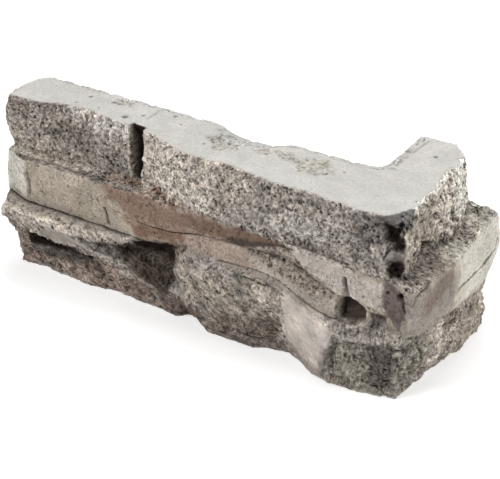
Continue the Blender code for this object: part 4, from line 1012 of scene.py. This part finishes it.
class Nodes:
    """Short ways to add nodes to a new material."""

    def __init__(self, name):
        self.material = bpy.data.materials.new(name)
        self.material.use_nodes = True
        self.tree = self.material.node_tree
        self.shader = self.tree.nodes["Principled BSDF"]

    def add(self, kind, inputs=None, **settings):
        """Outputs of a node with its settings, and its sockets set or linked."""
        node = self.tree.nodes.new("ShaderNode" + kind)
        for name, value in settings.items():
            setattr(node, name, value)
        self.connect(node, inputs or {})
        return node.outputs

    def connect(self, node, inputs):
        """Set or link some sockets of a node."""
        for socket, value in inputs.items():
            if isinstance(value, bpy.types.NodeSocket):
                self.tree.links.new(value, node.inputs[socket])
            else:
                node.inputs[socket].default_value = value

    def attribute(self, name, output="Fac"):
        return self.add("Attribute", attribute_name=name)[output]

    def calculate(self, operation, *values):
        """Result of a sum on numbers or sockets."""
        return self.add("Math", dict(enumerate(values)), operation=operation)[0]

    def times(self, first, second):
        return self.calculate("MULTIPLY", first, second)

    def noise(self, place, scale, detail, roughness=0.6):
        inputs = {"Vector": place, "Scale": scale, "Detail": detail, "Roughness": roughness}
        return self.add("TexNoise", inputs)["Fac"]

    def rescale(self, value, low, high, to_low, to_high):
        """The value moved from one range to another and kept inside it."""
        ends = {"From Min": low, "From Max": high, "To Min": to_low, "To Max": to_high}
        return self.add("MapRange", {"Value": value, **ends})["Result"]

    def mix(self, share, first, second):
        """The first value, moved by a share of the way to the second."""
        return self.add("Mix", {"Factor": share, "A": first, "B": second})["Result"]

    def drawn_out(self, place, way):
        """Places in which noise is drawn out along one way."""
        along = self.add("VectorMath", {0: place, 1: tuple(way)}, operation="DOT_PRODUCT")["Value"]
        shift = {0: tuple((DRAWN_OUT - 1.0) * way), "Scale": along}
        shift = self.add("VectorMath", shift, operation="SCALE")["Vector"]
        return self.add("VectorMath", {0: place, 1: shift}, operation="ADD")["Vector"]


# Scales of the stone's patterns, how far the pores' edges bend, and the heights of the bump
GRAIN_SCALE = 620.0
SPECK_SCALE = 1300.0
PORE_SCALE = 330.0
PORE_BEND = 0.0030
PATCH_SCALE = 190.0
CLUMP_SCALE = 330.0
BUMP_HEIGHT = 0.0010
SLANTED_BUMP = 1.2

# What a range of a pattern becomes: from low, from high, to low, to high
DARK_GRAINS = (0.37, 0.50, -0.68, 0.0)
PALE_GRAINS = (0.50, 0.65, 0.0, 0.55)
PATCH_CONTRAST = (0.35, 0.60, 0.45, 1.15)
CLUMP_CONTRAST = (0.34, 0.66, -0.45, 0.45)
CLUMPS_BY_GRIT = (0.7, 0.9, 0.2, 1.0)
PORE_DEPTH = (0.10, 0.30, 1.0, 0.0)
PORES_IN_PATCHES = (0.44, 0.56, 0.0, 1.0)
PORES_BY_GRIT = (0.3, 0.8, 0.0, 1.0)
ROUGHNESS = (0.3, 0.7, 0.80, 0.96)


def material_for_stone():
    """Painted tones with grains, specks and pores, all stronger where the stone broke rough."""
    nodes = Nodes("cast_stone")
    tone = nodes.attribute("tone", "Color")
    grit = nodes.attribute("grit")
    upright = nodes.attribute("upright")
    slanted = nodes.attribute("slanted")
    place = nodes.add("TexCoord")["Object"]

    grains = nodes.noise(place, GRAIN_SCALE, 2.0)
    for share, way in ((upright, UPRIGHT), (slanted, SLANTED)):
        drawn = nodes.noise(nodes.drawn_out(place, way), GRAIN_SCALE, 2.0)
        grains = nodes.mix(share, grains, drawn)
    mixed = nodes.mix(0.4, grains, nodes.noise(place, SPECK_SCALE, 1.0))
    patches = nodes.noise(place, PATCH_SCALE, 2.0)
    clumps = nodes.noise(place, CLUMP_SCALE, 3.0, 0.65)
    contrast = nodes.calculate("ADD", nodes.rescale(mixed, *DARK_GRAINS), nodes.rescale(mixed, *PALE_GRAINS))
    contrast = nodes.times(contrast, nodes.rescale(patches, *PATCH_CONTRAST))
    clumpy = nodes.times(nodes.rescale(clumps, *CLUMP_CONTRAST), nodes.rescale(grit, *CLUMPS_BY_GRIT))
    contrast = nodes.calculate("ADD", contrast, clumpy)

    bend = nodes.add("TexNoise", {"Vector": place, "Scale": GRAIN_SCALE})["Color"]
    bend = {0: bend, 1: (PORE_BEND, PORE_BEND, PORE_BEND), 2: place}
    bent = nodes.add("VectorMath", bend, operation="MULTIPLY_ADD")["Vector"]
    pores = nodes.add("TexVoronoi", {"Vector": bent, "Scale": PORE_SCALE}, feature="F1")["Distance"]
    depth = nodes.times(nodes.rescale(pores, *PORE_DEPTH), nodes.rescale(patches, *PORES_IN_PATCHES))
    depth = nodes.times(depth, nodes.rescale(grit, *PORES_BY_GRIT))
    shade = nodes.calculate("ADD", 1.0, nodes.times(contrast, grit))
    # The pores are painted darker too: painted shade in them
    shade = nodes.times(shade, nodes.calculate("SUBTRACT", 1.0, nodes.times(depth, 0.7)))

    height = nodes.calculate("ADD", mixed, nodes.times(clumps, 0.8))
    height = nodes.calculate("SUBTRACT", height, nodes.times(depth, 0.5))
    height = nodes.times(height, grit)
    height = nodes.times(height, nodes.rescale(slanted, 0.0, 1.0, 1.0, SLANTED_BUMP))
    bump = {"Height": height, "Distance": BUMP_HEIGHT, "Strength": 1.0}
    nodes.connect(nodes.shader, {
        "Base Color": nodes.add("VectorMath", {0: tone, "Scale": shade}, operation="SCALE")["Vector"],
        "Normal": nodes.add("Bump", bump)["Normal"],
        "Roughness": nodes.rescale(grains, *ROUGHNESS),
        "Specular IOR Level": 0.12,
    })
    return nodes.material


CAMERA_RISE = math.radians(30.81)
CAMERA_TURN = math.radians(32.3)
CAMERA_DISTANCE = 0.731
CAMERA_AIM = Vector((0.01476, -0.00654, 0.0429))
SENSOR = 36.0
PHOTO_WIDTH = 500.0
FOCAL_PIXELS = 1400.0


def add_object(name, data):
    thing = bpy.data.objects.new(name, data)
    bpy.context.scene.collection.objects.link(thing)
    return thing


def place_camera():
    back = Vector((
        math.sin(CAMERA_TURN) * math.cos(CAMERA_RISE),
        -math.cos(CAMERA_TURN) * math.cos(CAMERA_RISE),
        math.sin(CAMERA_RISE),
    ))
    camera = bpy.data.cameras.new("camera")
    camera.sensor_width = SENSOR
    camera.lens = FOCAL_PIXELS / PHOTO_WIDTH * SENSOR
    holder = add_object("camera", camera)
    holder.location = CAMERA_AIM + back * CAMERA_DISTANCE
    holder.rotation_euler = back.to_track_quat("Z", "Y").to_euler()
    bpy.context.scene.camera = holder


def area_light(name, place, aim, size, power):
    light = bpy.data.lights.new(name, "AREA")
    light.shape = "DISK"
    light.size = size
    light.energy = power
    holder = add_object(name, light)
    holder.location = Vector(place)
    holder.rotation_euler = (Vector(place) - Vector(aim)).to_track_quat("Z", "Y").to_euler()


def light_studio():
    middle = (0.0, -0.02, 0.05)
    area_light("key", (-0.35, -0.80, 1.05), middle, 0.45, 9.0)
    area_light("fill", (1.00, 0.05, 0.75), middle, 0.55, 6.5)
    area_light("overhead", (-0.05, 0.45, 1.25), middle, 0.80, 7.6)
    world = bpy.data.worlds.new("studio")
    world.use_nodes = True
    world.node_tree.nodes["Background"].inputs["Color"].default_value = (1, 1, 1, 1)
    world.node_tree.nodes["Background"].inputs["Strength"].default_value = 0.12
    bpy.context.scene.world = world
    bpy.context.scene.view_settings.view_transform = "Standard"


FLOOR_REACH = 6.0
FLOOR_GAP = 0.0002
FLOOR_GLOW = 0.45


def lay_floor():
    """A pale floor that is white to the camera away from the stone and keeps its shadow."""
    mesh = bpy.data.meshes.new("floor")
    corners = [
        (FLOOR_REACH * x, FLOOR_REACH * y, -FLOOR_GAP) for x, y in ((-1, -1), (1, -1), (1, 1), (-1, 1))
    ]
    mesh.from_pydata(corners, [], [(0, 1, 2, 3)])
    nodes = Nodes("floor")
    look = {"Base Color": (0.8, 0.8, 0.8, 1), "Roughness": 1.0, "Specular IOR Level": 0.0}
    nodes.connect(nodes.shader, look)
    plain = nodes.shader.outputs["BSDF"]
    glow = nodes.add("Emission", {"Strength": FLOOR_GLOW})["Emission"]
    glowing = nodes.add("AddShader", {0: plain, 1: glow})["Shader"]
    rays = nodes.add("LightPath")
    seen = nodes.calculate("MAXIMUM", rays["Is Camera Ray"], rays["Is Glossy Ray"])
    seen = nodes.calculate("MAXIMUM", seen, rays["Is Transmission Ray"])
    surface = nodes.add("MixShader", {"Fac": seen, 1: plain, 2: glowing})["Shader"]
    nodes.connect(nodes.tree.nodes["Material Output"], {"Surface": surface})
    mesh.materials.append(nodes.material)
    add_object("floor", mesh)


mesh = build_stone(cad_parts["corner_stone"])
mesh.transform(Matrix.Translation(Vector(INNER_CORNER)))
piece = add_object("dressed_stone", mesh)
mesh.materials.append(material_for_stone())
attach(piece, "root")
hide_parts("corner_stone")
place_camera()
light_studio()
lay_floor()
